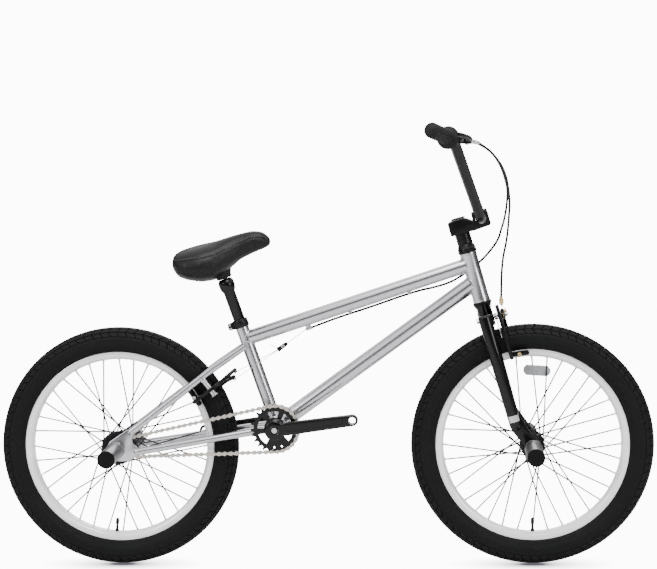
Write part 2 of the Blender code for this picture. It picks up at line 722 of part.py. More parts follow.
def fork():
    cup_foot = HEAD_TUBE_LENGTH / 2 + CUP_HEIGHT
    sweep("steerer", [head(0, 0, 0.004 - cup_foot), head(0, 0, STEM_TOP - 0.002)],
          STEERER_DIA / 2, "black_paint", 18, STEERER_WALL, HEAD_MIDDLE)
    crown = sweep("fork_crown", [head(0, 0, -CROWN_BOTTOM), head(0, 0, -cup_foot - 3 * GAP)],
                  CROWN_DIA / 2, "black_paint", 18, origin=HEAD_MIDDLE)
    half = CROWN_WIDTH / 2
    yoke_at = YOKE_DIA / 2 + 0.0015 - CROWN_BOTTOM
    yoke = sweep("crown_yoke", [head(-LEG_SETBACK, -half, yoke_at), head(-LEG_SETBACK, half, yoke_at)],
                 YOKE_DIA / 2, "black_paint", 14)
    weld(crown, yoke)
    bolt_room = CALIPER_BOLT_DIA / 2 + GAP
    cut(crown, rod_tool("caliper_hole", head(-0.04, 0, -CALIPER_AT), head(0.04, 0, -CALIPER_AT),
                        bolt_room, 16))
    for sign in (-1, 1):
        side = LEG_SPACING / 2 * sign
        name = side_name(sign)
        foot = head(-LEG_SETBACK, side, -LEG_FOOT)
        taper = head(-LEG_SETBACK, side, -LEG_TOP - LEG_TAPER_FROM)
        top = head(-LEG_SETBACK, side, -LEG_TOP)
        leg = sweep("fork_leg_" + name, [foot, taper, top],
                    [LEG_FOOT_DIA / 2, LEG_DIA / 2, LEG_DIA / 2], "black_paint", 16,
                    origin=HEAD_MIDDLE)
        weld(leg, fork_dropout(sign))
        cut(leg, rod_tool("fork_drill_" + name, FRONT_AXLE, FRONT_AXLE + SIDE * sign * 0.1,
                          FRONT_AXLE_DIA / 2 + GAP, 20))
        cut(crown, rod_tool("leg_room_" + name, foot, head(-LEG_SETBACK, side, 0),
                            LEG_DIA / 2 + GAP, 24))


def fork_dropout(sign):
    """The flat plate at the foot of a leg that carries the axle."""
    down = -UP
    axle = FRONT_AXLE - HEAD_MIDDLE
    low, ahead = axle.dot(down), axle.dot(FORE)
    start = LEG_FOOT - 0.016
    rear = -LEG_SETBACK - 0.009
    outline = [(rear, start), (rear + 0.018, start), (ahead + 0.014, low - 0.016),
               (ahead + 0.016, low + 0.004), (ahead + 0.006, low + 0.015),
               (ahead - 0.012, low + 0.012), (rear, LEG_FOOT + 0.012)]
    middle = HEAD_MIDDLE + SIDE * (sign * (FRONT_OLD + FORK_DROPOUT_THICK) / 2)
    return plate("fork_dropout_" + side_name(sign), outline, middle, FORE, down,
                 FORK_DROPOUT_THICK, "black_paint")


def stem_parts():
    cup_top = HEAD_TUBE_LENGTH / 2 + CUP_HEIGHT + 2 * GAP
    bore = STEERER_DIA / 2 + GAP
    spacer = [(bore, cup_top), (SPACER_DIA / 2, cup_top), (SPACER_DIA / 2, STEM_BOTTOM - GAP),
              (bore, STEM_BOTTOM - GAP)]
    turned("headset_spacers", spacer, HEAD_MIDDLE, UP, "black_alloy", 18, origin=HEAD_MIDDLE)

    split = BAR_CENTRE
    half = CLAMP_CAP_LENGTH / 2
    back, front = STEM_REACH - half, STEM_REACH + half
    outline = [(STEM_REAR, STEM_BOTTOM), (0.0160, STEM_BOTTOM), (front, split - 0.0200),
               (front + 0.001, split - GAP), (back - 0.002, split - GAP), (0.010, STEM_TOP),
               (-0.010, STEM_TOP), (STEM_REAR, STEM_TOP - 0.004)]
    body = plate("stem_body", outline, HEAD_MIDDLE, FORE, UP, STEM_WIDTH, "black_alloy",
                 HEAD_MIDDLE)
    steerer_hole = rod_tool("stem_bore", head(0, 0, STEM_BOTTOM - 0.02), head(0, 0, STEM_TOP + 0.02),
                            bore, 28)
    bar_middle = head(STEM_REACH, 0, BAR_CENTRE)
    bar_hole = rod_tool("bar_bore", bar_middle - SIDE * STEM_WIDTH, bar_middle + SIDE * STEM_WIDTH,
                        BAR_DIA / 2 + GAP, 28)
    cut(body, steerer_hole, bar_hole)

    shoulder = split + CLAMP_CAP_HEIGHT - 0.007
    top = split + CLAMP_CAP_HEIGHT
    cap_outline = [(back, split + GAP), (front, split + GAP), (front, shoulder),
                   (STEM_REACH + half / 2, top), (STEM_REACH - half / 2, top), (back, shoulder)]
    cap = plate("stem_cap", cap_outline, HEAD_MIDDLE, FORE, UP, STEM_WIDTH, "black_alloy",
                HEAD_MIDDLE)
    cut(cap, bar_hole)


def mirrored(point, sign):
    return Vector((point.x, point.y * sign, point.z))


def handlebar():
    lower = head(STEM_REACH, 0, BAR_CENTRE) + BAR_CORNER
    right = [mirrored(point, -1) for point in (BAR_END, BAR_SHOULDER, lower)]
    path = rounded_path([*right, lower, BAR_SHOULDER, BAR_END], BAR_BEND_RADIUS, 3)
    bar = sweep("handlebar", path, BAR_DIA / 2, "black_paint", 12, BAR_WALL, HEAD_MIDDLE)
    brace_at = lower.lerp(BAR_SHOULDER, CROSSBAR_HEIGHT) - SIDE * ((BAR_DIA - BAR_WALL) / 2)
    brace = sweep("crossbar", [mirrored(brace_at, -1), brace_at], CROSSBAR_DIA / 2,
                  "black_paint", SMALL_SIDES, BAR_WALL)
    weld(bar, brace)

    bore = BAR_DIA / 2 + GAP
    cap = GRIP_END_CAP
    flange, body, length = GRIP_FLANGE_DIA / 2, GRIP_DIA / 2, GRIP_LENGTH
    profile = [(0, cap), (0.012, cap), (body, cap - 0.003),
               (body, GRIP_FLANGE_THICK + 0.004 - length),
               (flange - 0.002, GRIP_FLANGE_THICK - length), (flange, 0.001 - length),
               (flange - 0.004, -length), (bore, -length), (bore, GAP), (0, GAP)]
    for sign in (-1, 1):
        out = mirrored(BAR_END - BAR_SHOULDER, sign)
        turned("grip_" + side_name(sign), profile, mirrored(BAR_END, sign), out, "grip_rubber",
               16, closed=False, origin=HEAD_MIDDLE)


# ----------------------------------------------------------------- wheels

def arc(centre_r, radius, start, stop, count):
    """Points of a section's arc, as (distance from the axle, across the wheel)."""
    turns = [start + (stop - start) * k / (count - 1) for k in range(count)]
    return [(centre_r + radius * math.cos(t), radius * math.sin(t)) for t in turns]


def wheel(tag, centre, flange_left, flange_right, axle_dia, hub_right_end, hub_left_end):
    """A tyre, rim, hub and spokes about one axle."""
    down = Vector((0.0, 0.0, -1.0))
    tube_r = TYRE_WIDTH / 2
    middle_r = TYRE_DIA / 2 - tube_r
    tyre = arc(middle_r, tube_r, -TYRE_BEAD, TYRE_BEAD, 9)
    tyre += arc(middle_r, tube_r - TYRE_WALL, TYRE_BEAD, -TYRE_BEAD, 7)
    turned("tyre_" + tag, tyre, centre, SIDE, "tyre_rubber", TYRE_STEPS, start=down, origin=centre)

    rim_r = RIM_DIA / 2
    inner_r = rim_r - RIM_DEPTH
    half = RIM_WIDTH / 2
    well = rim_r - RIM_WELL
    rim = [(inner_r, -half * 0.6), (rim_r - 0.010, -half), (rim_r, -half), (rim_r, RIM_WALL - half),
           (well, RIM_WALL - half * 0.7), (well, half * 0.7 - RIM_WALL), (rim_r, half - RIM_WALL),
           (rim_r, half), (rim_r - 0.010, half), (inner_r, half * 0.6)]
    turned("rim_" + tag, rim, centre, SIDE, "polished_alloy", RIM_STEPS, start=down, origin=centre)

    bore = axle_dia / 2 + GAP
    core = HUB_SHELL_DIA / 2
    nut = LOCKNUT_DIA / 2
    at, thick = FLANGE_OFFSET, FLANGE_THICK / 2
    left_r, right_r = flange_left / 2, flange_right / 2
    hub = [(bore, -hub_right_end), (nut, -hub_right_end), (nut, -at - 0.004),
           (right_r - 0.004, -at - thick), (right_r, -at), (right_r - 0.001, thick - at),
           (core, 0.007 - at), (core, at - 0.007), (left_r - 0.001, at - thick), (left_r, at),
           (left_r - 0.004, at + thick), (nut, at + 0.004), (nut, hub_left_end),
           (bore, hub_left_end)]
    turned("hub_" + tag, hub, centre, SIDE, "black_alloy", 16, origin=centre)
    spokes(tag, centre, left_r, right_r, inner_r * math.cos(math.pi / RIM_STEPS) - 2 * GAP)


def spokes(tag, centre, left_r, right_r, rim_end):
    """One wheel's spokes, tied by a thin band where their nipples enter the rim."""
    per_side = SPOKE_COUNT // 2
    tip = rim_end - SPOKE_TIE_DEPTH / 2
    builder = bmesh.new()
    for sign, flange_r in ((-1, right_r), (1, left_r)):
        root = flange_r + SPOKE_DIA / 2 + GAP
        for k in range(per_side):
            lean = 1 if k % 2 else -1
            hub_turn = 2 * math.pi * (k + 0.5 * (sign > 0)) / per_side
            rim_turn = hub_turn + lean * 2 * math.pi * SPOKE_CROSS / SPOKE_COUNT
            seat_y = sign * (FLANGE_OFFSET + lean * SPOKE_SEAT)
            start = centre + Vector((root * math.cos(hub_turn), seat_y, root * math.sin(hub_turn)))
            stop = centre + Vector((tip * math.cos(rim_turn), sign * SPOKE_RIM_OFFSET,
                                    tip * math.sin(rim_turn)))
            add_sweep(builder, [start, stop], SPOKE_DIA / 2, 4)
    net = finish_object("spokes_" + tag, builder, "spoke_steel", centre)
    low, high = rim_end - SPOKE_TIE_DEPTH, rim_end
    half = SPOKE_DIA * 0.8
    half_step = math.pi / SPOKE_COUNT
    between = Vector((math.cos(half_step), 0, math.sin(half_step)))
    tie = turned("spoke_tie_" + tag, [(low, -half), (high, -half), (high, half), (low, half)],
                 centre, SIDE, "spoke_steel", SPOKE_COUNT, start=between)
    weld(net, tie)


def axle(tag, centre, axle_dia, old, dropout_thick, origin=(0, 0, 0)):
    """An axle with the nuts that hold the wheel and pegs."""
    shaft = axle_dia / 2
    nut = NUT_DIA / 2
    outer = old / 2 + dropout_thick + PEG_WALL + 3 * GAP
    nut_end = outer + NUT_THICK
    tip = nut_end + AXLE_TIP
    profile = [(0, -tip), (shaft, -tip), (shaft, -nut_end), (nut, -nut_end), (nut, -outer),
               (shaft, -outer), (shaft, outer), (nut, outer), (nut, nut_end), (shaft, nut_end),
               (shaft, tip), (0, tip)]
    turned(tag + "_axle", profile, centre, SIDE, "wire_steel", 12, closed=False, origin=origin)


def pegs(tag, centre, axle_dia, old, dropout_thick, origin=(0, 0, 0)):
    """A tube peg over each axle end, closed by its end cap."""
    radius = PEG_DIA / 2
    bore = axle_dia / 2 + GAP
    inside = radius - PEG_WALL
    cap = PEG_LENGTH - PEG_END
    profile = [(bore, 0), (radius, 0), (radius, PEG_LENGTH - 0.0015),
               (radius - 0.0015, PEG_LENGTH), (PEG_VENT, PEG_LENGTH), (PEG_VENT, cap),
               (inside, cap), (inside, PEG_WALL), (bore, PEG_WALL)]
    foot = old / 2 + dropout_thick + 2 * GAP
    for sign in (-1, 1):
        turned(tag + "_peg_" + side_name(sign), profile, centre + SIDE * (foot * sign),
               SIDE * sign, "peg_steel", 20, origin=origin)


# -------------------------------------------------------------- drivetrain

def cranks():
    half = SPINDLE_LENGTH / 2
    shaft = SPINDLE_DIA / 2
    turned("crank_spindle", [(0, -half), (shaft, -half), (shaft, half), (0, half)], BB_CENTRE,
           SIDE, "wire_steel", 14, closed=False, origin=BB_CENTRE)
    for sign in (-1, 1):
        crank_arm(sign)

    bore = SPROCKET_BORE_DIA / 2
    root = SPROCKET_PITCH_R - ROLLER_RADIUS - GAP
    half_thick = SPROCKET_THICK / 2
    disc = [(bore, -half_thick), (root, -half_thick), (root, half_thick), (bore, half_thick)]
    place = BB_CENTRE - SIDE * CHAINLINE
    sprocket = turned("sprocket", disc, place, SIDE, "black_alloy", 40, origin=BB_CENTRE)
    for k in range(5):
        turn = SPROCKET_SOLID_AT + SPROCKET_WINDOW_STEP * (k + 1)
        middle = place + Vector((math.cos(turn), 0, math.sin(turn))) * SPROCKET_WINDOWS_AT
        reach = SIDE * (3 * SPROCKET_THICK)
        cut(sprocket, rod_tool("sprocket_window_%d" % k, middle - reach, middle + reach,
                               SPROCKET_WINDOW_DIA / 2, 12))


def half_round(middle, radius, start, steps=10):
    """Half a circle of outline points about a place along a crank."""
    turns = [start + math.pi * k / steps for k in range(steps + 1)]
    return [(middle + radius * math.cos(t), radius * math.sin(t)) for t in turns]


def crank_arm(sign):
    """A crank arm: boss, tapering beam and drilled pedal eye."""
    along = Vector((math.cos(CRANK_ANGLE), 0, math.sin(CRANK_ANGLE))) * -sign
    across = SIDE.cross(along)
    outline = half_round(0, CRANK_BOSS_DIA / 2, math.pi / 2)
    outline.append((CRANK_NECK, -CRANK_HEIGHT / 2))
    outline += half_round(CRANK_LENGTH, CRANK_EYE_DIA / 2, -math.pi / 2)
    outline.append((CRANK_NECK, CRANK_HEIGHT / 2))
    middle = BB_CENTRE + SIDE * (sign * (CRANK_INNER + CRANK_THICK / 2))
    arm = plate("crank_" + side_name(sign), outline, middle, along, across, CRANK_THICK,
                "black_paint", BB_CENTRE)
    far = SIDE * (0.12 * sign)
    eye = BB_CENTRE + along * CRANK_LENGTH
    cut(arm, rod_tool("pedal_drill_" + side_name(sign), eye, eye + far, PEDAL_HOLE_DIA / 2, 20),
        rod_tool("spindle_drill_" + side_name(sign), BB_CENTRE, BB_CENTRE + far,
                 SPINDLE_DIA / 2 + GAP, 20))


def driver():
    """The small rear cog with its sleeve, turning on the rear axle."""
    bore = REAR_AXLE_DIA / 2 + GAP
    sleeve = DRIVER_SLEEVE_DIA / 2
    root = COG_PITCH_R - ROLLER_RADIUS - GAP
    inner = CHAINLINE - COG_THICK / 2
    outer = CHAINLINE + COG_THICK / 2
    end = REAR_OLD / 2 - GAP
    start = inner - DRIVER_INNER
    profile = [(bore, -start), (sleeve, -start), (sleeve, -inner), (root, -inner), (root, -outer),
               (sleeve, -outer), (sleeve, -end), (bore, -end)]
    turned("driver_cog", profile, REAR_AXLE, SIDE, "black_alloy", 20, origin=REAR_AXLE)


def chain():
    """The chain as one closed band round the sprocket and cog."""
    span = BB_CENTRE - REAR_AXLE
    lean = math.atan2(span.z, span.x)
    spread = math.asin((SPROCKET_PITCH_R - COG_PITCH_R) / span.length)
    upper = lean + math.pi / 2 + spread
    lower = lean - math.pi / 2 - spread
    stations = [(BB_CENTRE, SPROCKET_PITCH_R, upper + (lower - upper) * k / 16) for k in range(17)]
    rear_turn = upper - 2 * math.pi - lower
    stations += [(REAR_AXLE, COG_PITCH_R, lower + rear_turn * k / 8) for k in range(9)]
    builder = bmesh.new()
    half = CHAIN_WIDTH / 2
    low, high = -ROLLER_RADIUS, CHAIN_PLATE / 2
    sections = []
    for centre, radius, turn in stations:
        outward = Vector((math.cos(turn), 0, math.sin(turn)))
        base = centre + outward * radius - SIDE * CHAINLINE
        sections.append([builder.verts.new(base + outward * rise + SIDE * side) for rise, side in
                         ((low, -half), (high, -half), (high, half), (low, half))])
    for k, section in enumerate(sections):
        join_rings(builder, section, sections[(k + 1) % len(sections)])
    finish_object("chain", builder, "chain_steel")


# ------------------------------------------------------------------ brakes

def levers():
    """A clamp bracket and a hinged blade for each hand."""
    share = (LEVER_AT - BAR_SHOULDER.y) / (BAR_END.y - BAR_SHOULDER.y)
    half = LEVER_CLAMP_WIDTH / 2
    bore = BAR_DIA / 2 + GAP
    clamp_r = bore + LEVER_CLAMP_WALL
    for sign in (-1, 1):
        name = side_name(sign)
        middle = mirrored(BAR_SHOULDER.lerp(BAR_END, share), sign)
        out = mirrored(BAR_END - BAR_SHOULDER, sign).normalized()
        ahead = (LEVER_AIM - out * LEVER_AIM.dot(out)).normalized()
        collar = [(bore, -half), (clamp_r, -half), (clamp_r, half), (bore, half)]
        bracket = turned("lever_bracket_" + name, collar, middle, out, "black_alloy", 20,
                         origin=HEAD_MIDDLE)
        cheeks = LEVER_THICK + 2 * (GAP + LEVER_CHEEK)
        tip = LEVER_PIVOT_REACH + half
        arm = plate("lever_arm_" + name, [(clamp_r - 0.002, -half), (tip, -half), (tip, half),
                                          (clamp_r - 0.002, half)],
                    middle, ahead, out, cheeks, "black_alloy")
        slot_from = LEVER_PIVOT_REACH - LEVER_SLOT_DEPTH
        slot = plate("lever_slot_" + name, block_outline(0.060, 0.060),
                     middle + ahead * (slot_from + 0.030), ahead, out, LEVER_THICK + 2 * GAP,
                     "black_alloy")
        weld(bracket, arm)
        cut(bracket, hide_tool(slot))

        pivot = middle + ahead * LEVER_PIVOT_REACH
        plate("brake_lever_" + name, LEVER_BLADE, pivot, ahead, out, LEVER_THICK, "black_alloy",
              pivot)


def pad_block(name, axle_place, radial, sign):
    """A brake pad block lying along the rim, beside the place where it presses."""
    middle = axle_place + radial * BRAKE_TRACK
    middle += SIDE * (sign * (RIM_WIDTH / 2 + PAD_GAP + PAD_THICK / 2))
    return plate(name, block_outline(PAD_LENGTH, PAD_HEIGHT), middle, radial.cross(SIDE), radial,
                 PAD_THICK, "black_alloy")


def caliper():
    """The front side-pull caliper: a centre bolt and two curved arms."""
    shank = CALIPER_BOLT_DIA / 2
    wide = CALIPER_SPACER_DIA / 2
    centre = head(0, 0, -CALIPER_AT)
    crown_face = CROWN_DIA / 2 + 2 * GAP
    arms_end = CALIPER_FRONT + 2 * BRAKE_ARM_THICK + 3 * GAP
    back = -CROWN_DIA / 2 - 2 * GAP - CALIPER_WASHER
    front = arms_end + CALIPER_WASHER
    profile = [(0, back), (wide, back), (wide, -crown_face), (shank, -crown_face),
               (shank, crown_face), (wide, crown_face), (wide, CALIPER_FRONT - GAP),
               (shank, CALIPER_FRONT - GAP), (shank, arms_end), (wide, arms_end), (wide, front),
               (0, front)]
    turned("caliper_bolt", profile, centre, FORE, "wire_steel", 12, closed=False,
           origin=HEAD_MIDDLE)

    axle = FRONT_AXLE - centre
    ahead = axle.dot(FORE)
    pad_down = axle.dot(-UP) - math.sqrt(BRAKE_TRACK ** 2 - (ahead - CALIPER_PAD_AHEAD) ** 2)
    radial = (centre + FORE * CALIPER_PAD_AHEAD - UP * pad_down - FRONT_AXLE).normalized()
    foot = RIM_WIDTH / 2 + PAD_GAP + 0.0015
    for layer, sign in ((0, -1), (1, 1)):
        name = side_name(sign)
        # across the bike outwards, and down along the fork
        outline = [(0.053, 0.020), (0.053, pad_down + 0.004), (foot, pad_down + 0.006),
                   (foot, pad_down - 0.006), (0.041, pad_down - 0.012), (0.041, 0.026),
                   (0.030, 0.009), (0.0, 0.011), (-0.009, 0.006)]
        if sign < 0:
            outline += [(-0.009, -0.006), (0.0, -0.011), (0.020, -0.018), (0.028, -0.026),
                        (0.040, -0.026), (0.044, -0.008)]
        else:
            outline += [(-0.012, 0.002), (-0.028, -0.006), (-0.040, -0.006), (-0.040, -0.016),
                        (-0.028, -0.016), (-0.009, -0.011), (0.0, -0.011), (0.036, -0.006)]
        middle = centre + FORE * (CALIPER_FRONT + layer * (BRAKE_ARM_THICK + GAP) + BRAKE_ARM_THICK / 2)
        arm = plate("caliper_arm_" + name, outline, middle, SIDE * sign, -UP, BRAKE_ARM_THICK,
                    "black_alloy", centre)
        cut(arm, rod_tool("arm_drill_" + name, centre, centre + FORE * 0.06, shank + GAP, 16))
        weld(arm, pad_block("caliper_pad_" + name, FRONT_AXLE, radial, sign))


def rear_brake():
    """Two crossing arms that turn on the bosses under the seat stays."""
    along, away = ubrake_axes()
    pads = UBRAKE_PIVOT - along * UBRAKE_PAD_DROP - REAR_AXLE
    pads.y = 0
    radial = pads.normalized()
    pad_in = UBRAKE_PIVOT.y - RIM_WIDTH / 2 - PAD_GAP - 0.0015
    tip, reach = UBRAKE_ARM_END
    low = -UBRAKE_PAD_DROP
    # along the stay, and inwards across the tyre
    outline = [(0.010, -0.009), (0.026, 0.000), (0.044, 0.030), (tip + 0.002, reach - 0.012),
               (tip + 0.006, reach), (tip + 0.002, reach + 0.006), (tip - 0.006, reach + 0.002),
               (0.038, 0.052), (0.030, 0.030), (0.018, 0.014), (0.004, 0.010), (-0.008, 0.008),
               (low + 0.010, 0.012), (low + 0.006, pad_in), (low - 0.006, pad_in),
               (low - 0.006, -0.003), (-0.008, -0.009)]
    for layer, sign in ((0, -1), (1, 1)):
        name = side_name(sign)
        pivot = ubrake_pivot(sign)
        rise = UBRAKE_STANDOFF + layer * (BRAKE_ARM_THICK + 2 * GAP) + BRAKE_ARM_THICK / 2
        arm = plate("ubrake_arm_" + name, outline, pivot + away * rise, along, SIDE * -sign,
                    BRAKE_ARM_THICK, "black_alloy", pivot)
        cut(arm, rod_tool("boss_drill_" + name, pivot - away * 0.05, pivot + away * 0.05,
                          BOSS_DIA / 2 + GAP, 18))
        weld(arm, pad_block("rear_pad_" + name, REAR_AXLE, radial, sign))


# ------------------------------------------------------------------ cables

def cables():
    """Housings and wires, each from where it leaves one piece to where it meets the next."""
    start, run, above = top_tube_line()
    line = start - above * (TOP_TUBE_DIA / 2 + CABLE_DROP)
    beside = start - above * (TOP_TUBE_DIA / 2 + HOUSING_DROP)
    stop_front = line + run * (STOP_AT + STOP_LENGTH / 2 + GAP)
    stop_back = line + run * (STOP_AT - STOP_LENGTH / 2 - GAP)
    under_tube = [beside + run * reach for reach in HOUSING_UNDER_TUBE]
    cord("front_housing", FRONT_HOUSING, HOUSING_DIA, "housing_black", 28, HEAD_MIDDLE)
    cord("rear_housing", [*REAR_HOUSING, *under_tube, stop_front], HOUSING_DIA,
         "housing_black", 38)

    pull = (stop_back - HANGER_AT).normalized()
    cord("rear_wire", [stop_back, stop_back.lerp(HANGER_AT, 0.5), HANGER_AT + pull * GAP],
         WIRE_DIA, "wire_steel", 3, HANGER_AT)
    foot = HANGER_AT - pull * HANGER_LENGTH
    lift = SIDE.cross(pull)
    half = HANGER_LENGTH / 2
    outline = [(-half, -0.005), (half - 0.006, -0.0045), (half, -0.003), (half, 0.003),
               (half - 0.006, 0.0045), (-half, 0.005)]
    plate("straddle_hanger", outline, HANGER_AT - pull * half, pull, lift, HANGER_WIDTH,
          "black_alloy", HANGER_AT)

    along, away = ubrake_axes()
    tip, reach = UBRAKE_ARM_END
    over_arms = UBRAKE_STANDOFF + BRAKE_ARM_THICK + 2 * GAP + WIRE_DIA / 2
    bend = foot - pull * (WIRE_DIA / 2 + GAP)
    route = [bend]
    for layer, sign in ((1, 1), (0, -1)):
        rise = over_arms + layer * (BRAKE_ARM_THICK + 2 * GAP)
        arm_end = ubrake_pivot(sign) + along * tip - SIDE * (sign * reach) + away * rise
        nose = bend - SIDE * (sign * STRADDLE_NOSE)
        half_route = [nose, nose.lerp(arm_end, 0.5), arm_end]
        route = [*reversed(half_route), *route] if sign > 0 else [*route, *half_route]
    cord("straddle_wire", route, WIRE_DIA, "wire_steel", 12, HANGER_AT)


def main():
    clear_scene()
    seat_tool, top_tool, bb_tool = frame_tubes()
    stays_and_dropouts(seat_tool, top_tool, bb_tool)
    headset_cups()
    seat_parts()
    fork()
    stem_parts()
    handlebar()
    wheel("front", FRONT_AXLE, FRONT_FLANGE_DIA, FRONT_FLANGE_DIA, FRONT_AXLE_DIA,
          FRONT_OLD / 2 - GAP, FRONT_OLD / 2 - GAP)
    wheel("rear", REAR_AXLE, REAR_FLANGE_DIA, REAR_DRIVE_FLANGE_DIA, REAR_AXLE_DIA,
          CHAINLINE - COG_THICK / 2 - DRIVER_INNER - GAP, REAR_OLD / 2 - GAP)
    axle("front", FRONT_AXLE, FRONT_AXLE_DIA, FRONT_OLD, FORK_DROPOUT_THICK, HEAD_MIDDLE)
    axle("rear", REAR_AXLE, REAR_AXLE_DIA, REAR_OLD, DROPOUT_THICK)
    pegs("front", FRONT_AXLE, FRONT_AXLE_DIA, FRONT_OLD, FORK_DROPOUT_THICK, HEAD_MIDDLE)
    pegs("rear", REAR_AXLE, REAR_AXLE_DIA, REAR_OLD, DROPOUT_THICK)
    cranks()
    driver()
    chain()
    levers()
    caliper()
    rear_brake()
    cables()


main()
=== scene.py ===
"""A 20 inch freestyle BMX bike in a plain studio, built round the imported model.

Metres, +Z up, the bike faces +X and its chain side faces -Y. Every piece rides on
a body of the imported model, so the bike can be posed at each of its joints.
"""
import math

import bmesh
import bpy
from bpy.props import FloatProperty, FloatVectorProperty, IntProperty, PointerProperty
from mathutils import Matrix, Vector


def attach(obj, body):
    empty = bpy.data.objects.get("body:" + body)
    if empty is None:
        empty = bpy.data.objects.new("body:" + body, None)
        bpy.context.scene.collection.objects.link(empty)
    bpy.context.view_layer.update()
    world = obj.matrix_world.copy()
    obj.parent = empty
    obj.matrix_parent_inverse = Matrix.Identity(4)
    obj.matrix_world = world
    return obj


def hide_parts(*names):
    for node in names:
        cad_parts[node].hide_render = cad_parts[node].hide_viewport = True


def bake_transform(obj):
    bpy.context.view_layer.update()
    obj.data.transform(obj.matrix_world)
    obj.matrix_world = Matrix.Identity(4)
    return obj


bl_info = {
    "name": "BMX Bike Studio",
    "version": (1, 0, 0),
    "blender": (4, 5, 0),
    "location": "3D View > Sidebar > BMX Bike",
    "description": "Builds the visible pieces of a BMX bike and its studio",
    "category": "Object",
}

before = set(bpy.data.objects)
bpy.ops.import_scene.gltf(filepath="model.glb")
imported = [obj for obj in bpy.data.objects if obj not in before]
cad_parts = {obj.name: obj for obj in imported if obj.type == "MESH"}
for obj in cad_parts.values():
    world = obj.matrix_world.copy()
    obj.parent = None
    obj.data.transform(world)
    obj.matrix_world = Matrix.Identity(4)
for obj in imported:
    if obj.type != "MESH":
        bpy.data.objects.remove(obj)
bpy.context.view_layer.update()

# ---- layout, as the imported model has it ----
SIDE = Vector((0, 1, 0))
HEAD_ANGLE = math.radians(74.5)
SEAT_ANGLE = math.radians(71.3)
FORE = Vector((math.sin(HEAD_ANGLE), 0, math.cos(HEAD_ANGLE)))
UP = Vector((-math.cos(HEAD_ANGLE), 0, math.sin(HEAD_ANGLE)))
SEAT_UP = Vector((-math.cos(SEAT_ANGLE), 0, math.sin(SEAT_ANGLE)))
HEAD_MIDDLE = Vector((0.330, 0, 0.628))
BB = Vector((-0.104, 0, 0.306))
FRONT_AXLE = Vector((0.451, 0, 0.263))
REAR_AXLE = Vector((-0.451, 0, 0.263))
TYRE_R = 0.263
TUBE_R = 0.029
RIM_R = 0.209
RIM_HALF = 0.016
RIM_INNER = 0.192
SPOKES = 36
SPOKE_CROSS = 6
FLANGE_AT = 0.031
CHAINLINE = 0.0465
PITCH = 0.0127
TEETH = 25
COG_TEETH = 9
SPROCKET_R = PITCH * TEETH / (2 * math.pi)
COG_R = PITCH * COG_TEETH / (2 * math.pi)
CRANK_ANGLE = math.radians(7.2)
CRANK_LENGTH = 0.1695
BAR_R = 0.0111
BAR_SHOULDER = Vector((0.2860, 0.190, 0.9230))
BAR_END = Vector((0.2420, 0.357, 0.9435))
BAR_FORE, BAR_HEIGHT = 0.0471, 0.1193
LEVER_AT = 0.212
LEVER_AIM = Vector((0.995, 0, -0.100))
LEVER_REACH = 0.034
CALIPER_DROP = 0.0945
UBRAKE_PIVOT = Vector((-0.2475, 0.0435, 0.3975))
UBRAKE_ANGLE = math.radians(36.7)
STAY_RUN = Vector((math.cos(UBRAKE_ANGLE), 0, math.sin(UBRAKE_ANGLE)))
STAY_AWAY = Vector((math.sin(UBRAKE_ANGLE), 0, -math.cos(UBRAKE_ANGLE)))
HANGER_AT = Vector((-0.0790, 0, 0.4872))
BRAKE_TRACK = 0.2025
TOP_TUBE_R = 0.0159
DOWN_TUBE_R = 0.01745
SEAT_TUBE_R = 0.0143
STOP_AT = 0.138

FRONT_HOUSING = [
    (0.3370, 0.199, 0.9170), (0.3520, 0.190, 0.9090), (0.3697, 0.170, 0.8958),
    (0.3906, 0.135, 0.8703), (0.4015, 0.105, 0.8442), (0.4065, 0.070, 0.8121),
    (0.4075, 0.045, 0.7846), (0.4056, 0.030, 0.7592), (0.3987, 0.000, 0.7068),
    (0.3904, -0.017, 0.6691), (0.3866, -0.029, 0.6333), (0.3856, -0.035, 0.6050),
    (0.3850, -0.035, 0.5840),
]
REAR_HOUSING = [
    (0.3370, -0.199, 0.9170), (0.3470, -0.189, 0.9095), (0.3597, -0.175, 0.9000),
    (0.3790, -0.140, 0.8747), (0.3902, -0.110, 0.8491), (0.3980, -0.080, 0.8169),
    (0.3980, -0.060, 0.7951), (0.3948, -0.030, 0.7621), (0.3870, 0.000, 0.7285),
    (0.3800, 0.018, 0.7061), (0.3640, 0.031, 0.6820), (0.3420, 0.034, 0.6585),
    (0.3180, 0.031, 0.6400), (0.2980, 0.022, 0.6270), (0.2766, 0.010, 0.6165),
    (0.2400, 0.002, 0.6060),
]


def head(fore, side, up):
    """A point by its distances from the middle of the head tube."""
    return HEAD_MIDDLE + FORE * fore + SIDE * side + UP * up


def seat(up, side=0.0):
    """A point on the seat tube's axis, measured up from the bottom bracket."""
    return BB + SEAT_UP * up + SIDE * side


def mirrored(point, sign):
    return Vector((point.x, point.y * sign, point.z))


def side_name(sign):
    return "right" if sign < 0 else "left"


# ------------------------------------------------------------ mesh helpers

def square_to(axis, toward=None):
    """Two unit vectors square to an axis, the first as near `toward` as it can be."""
    axis = axis.normalized()
    guide = Vector(toward) if toward is not None else SIDE
    if abs(axis.dot(guide.normalized())) > 0.95:
        guide = Vector((0, 0, 1))
    first = (guide - axis * guide.dot(axis)).normalized()
    return first, axis.cross(first)


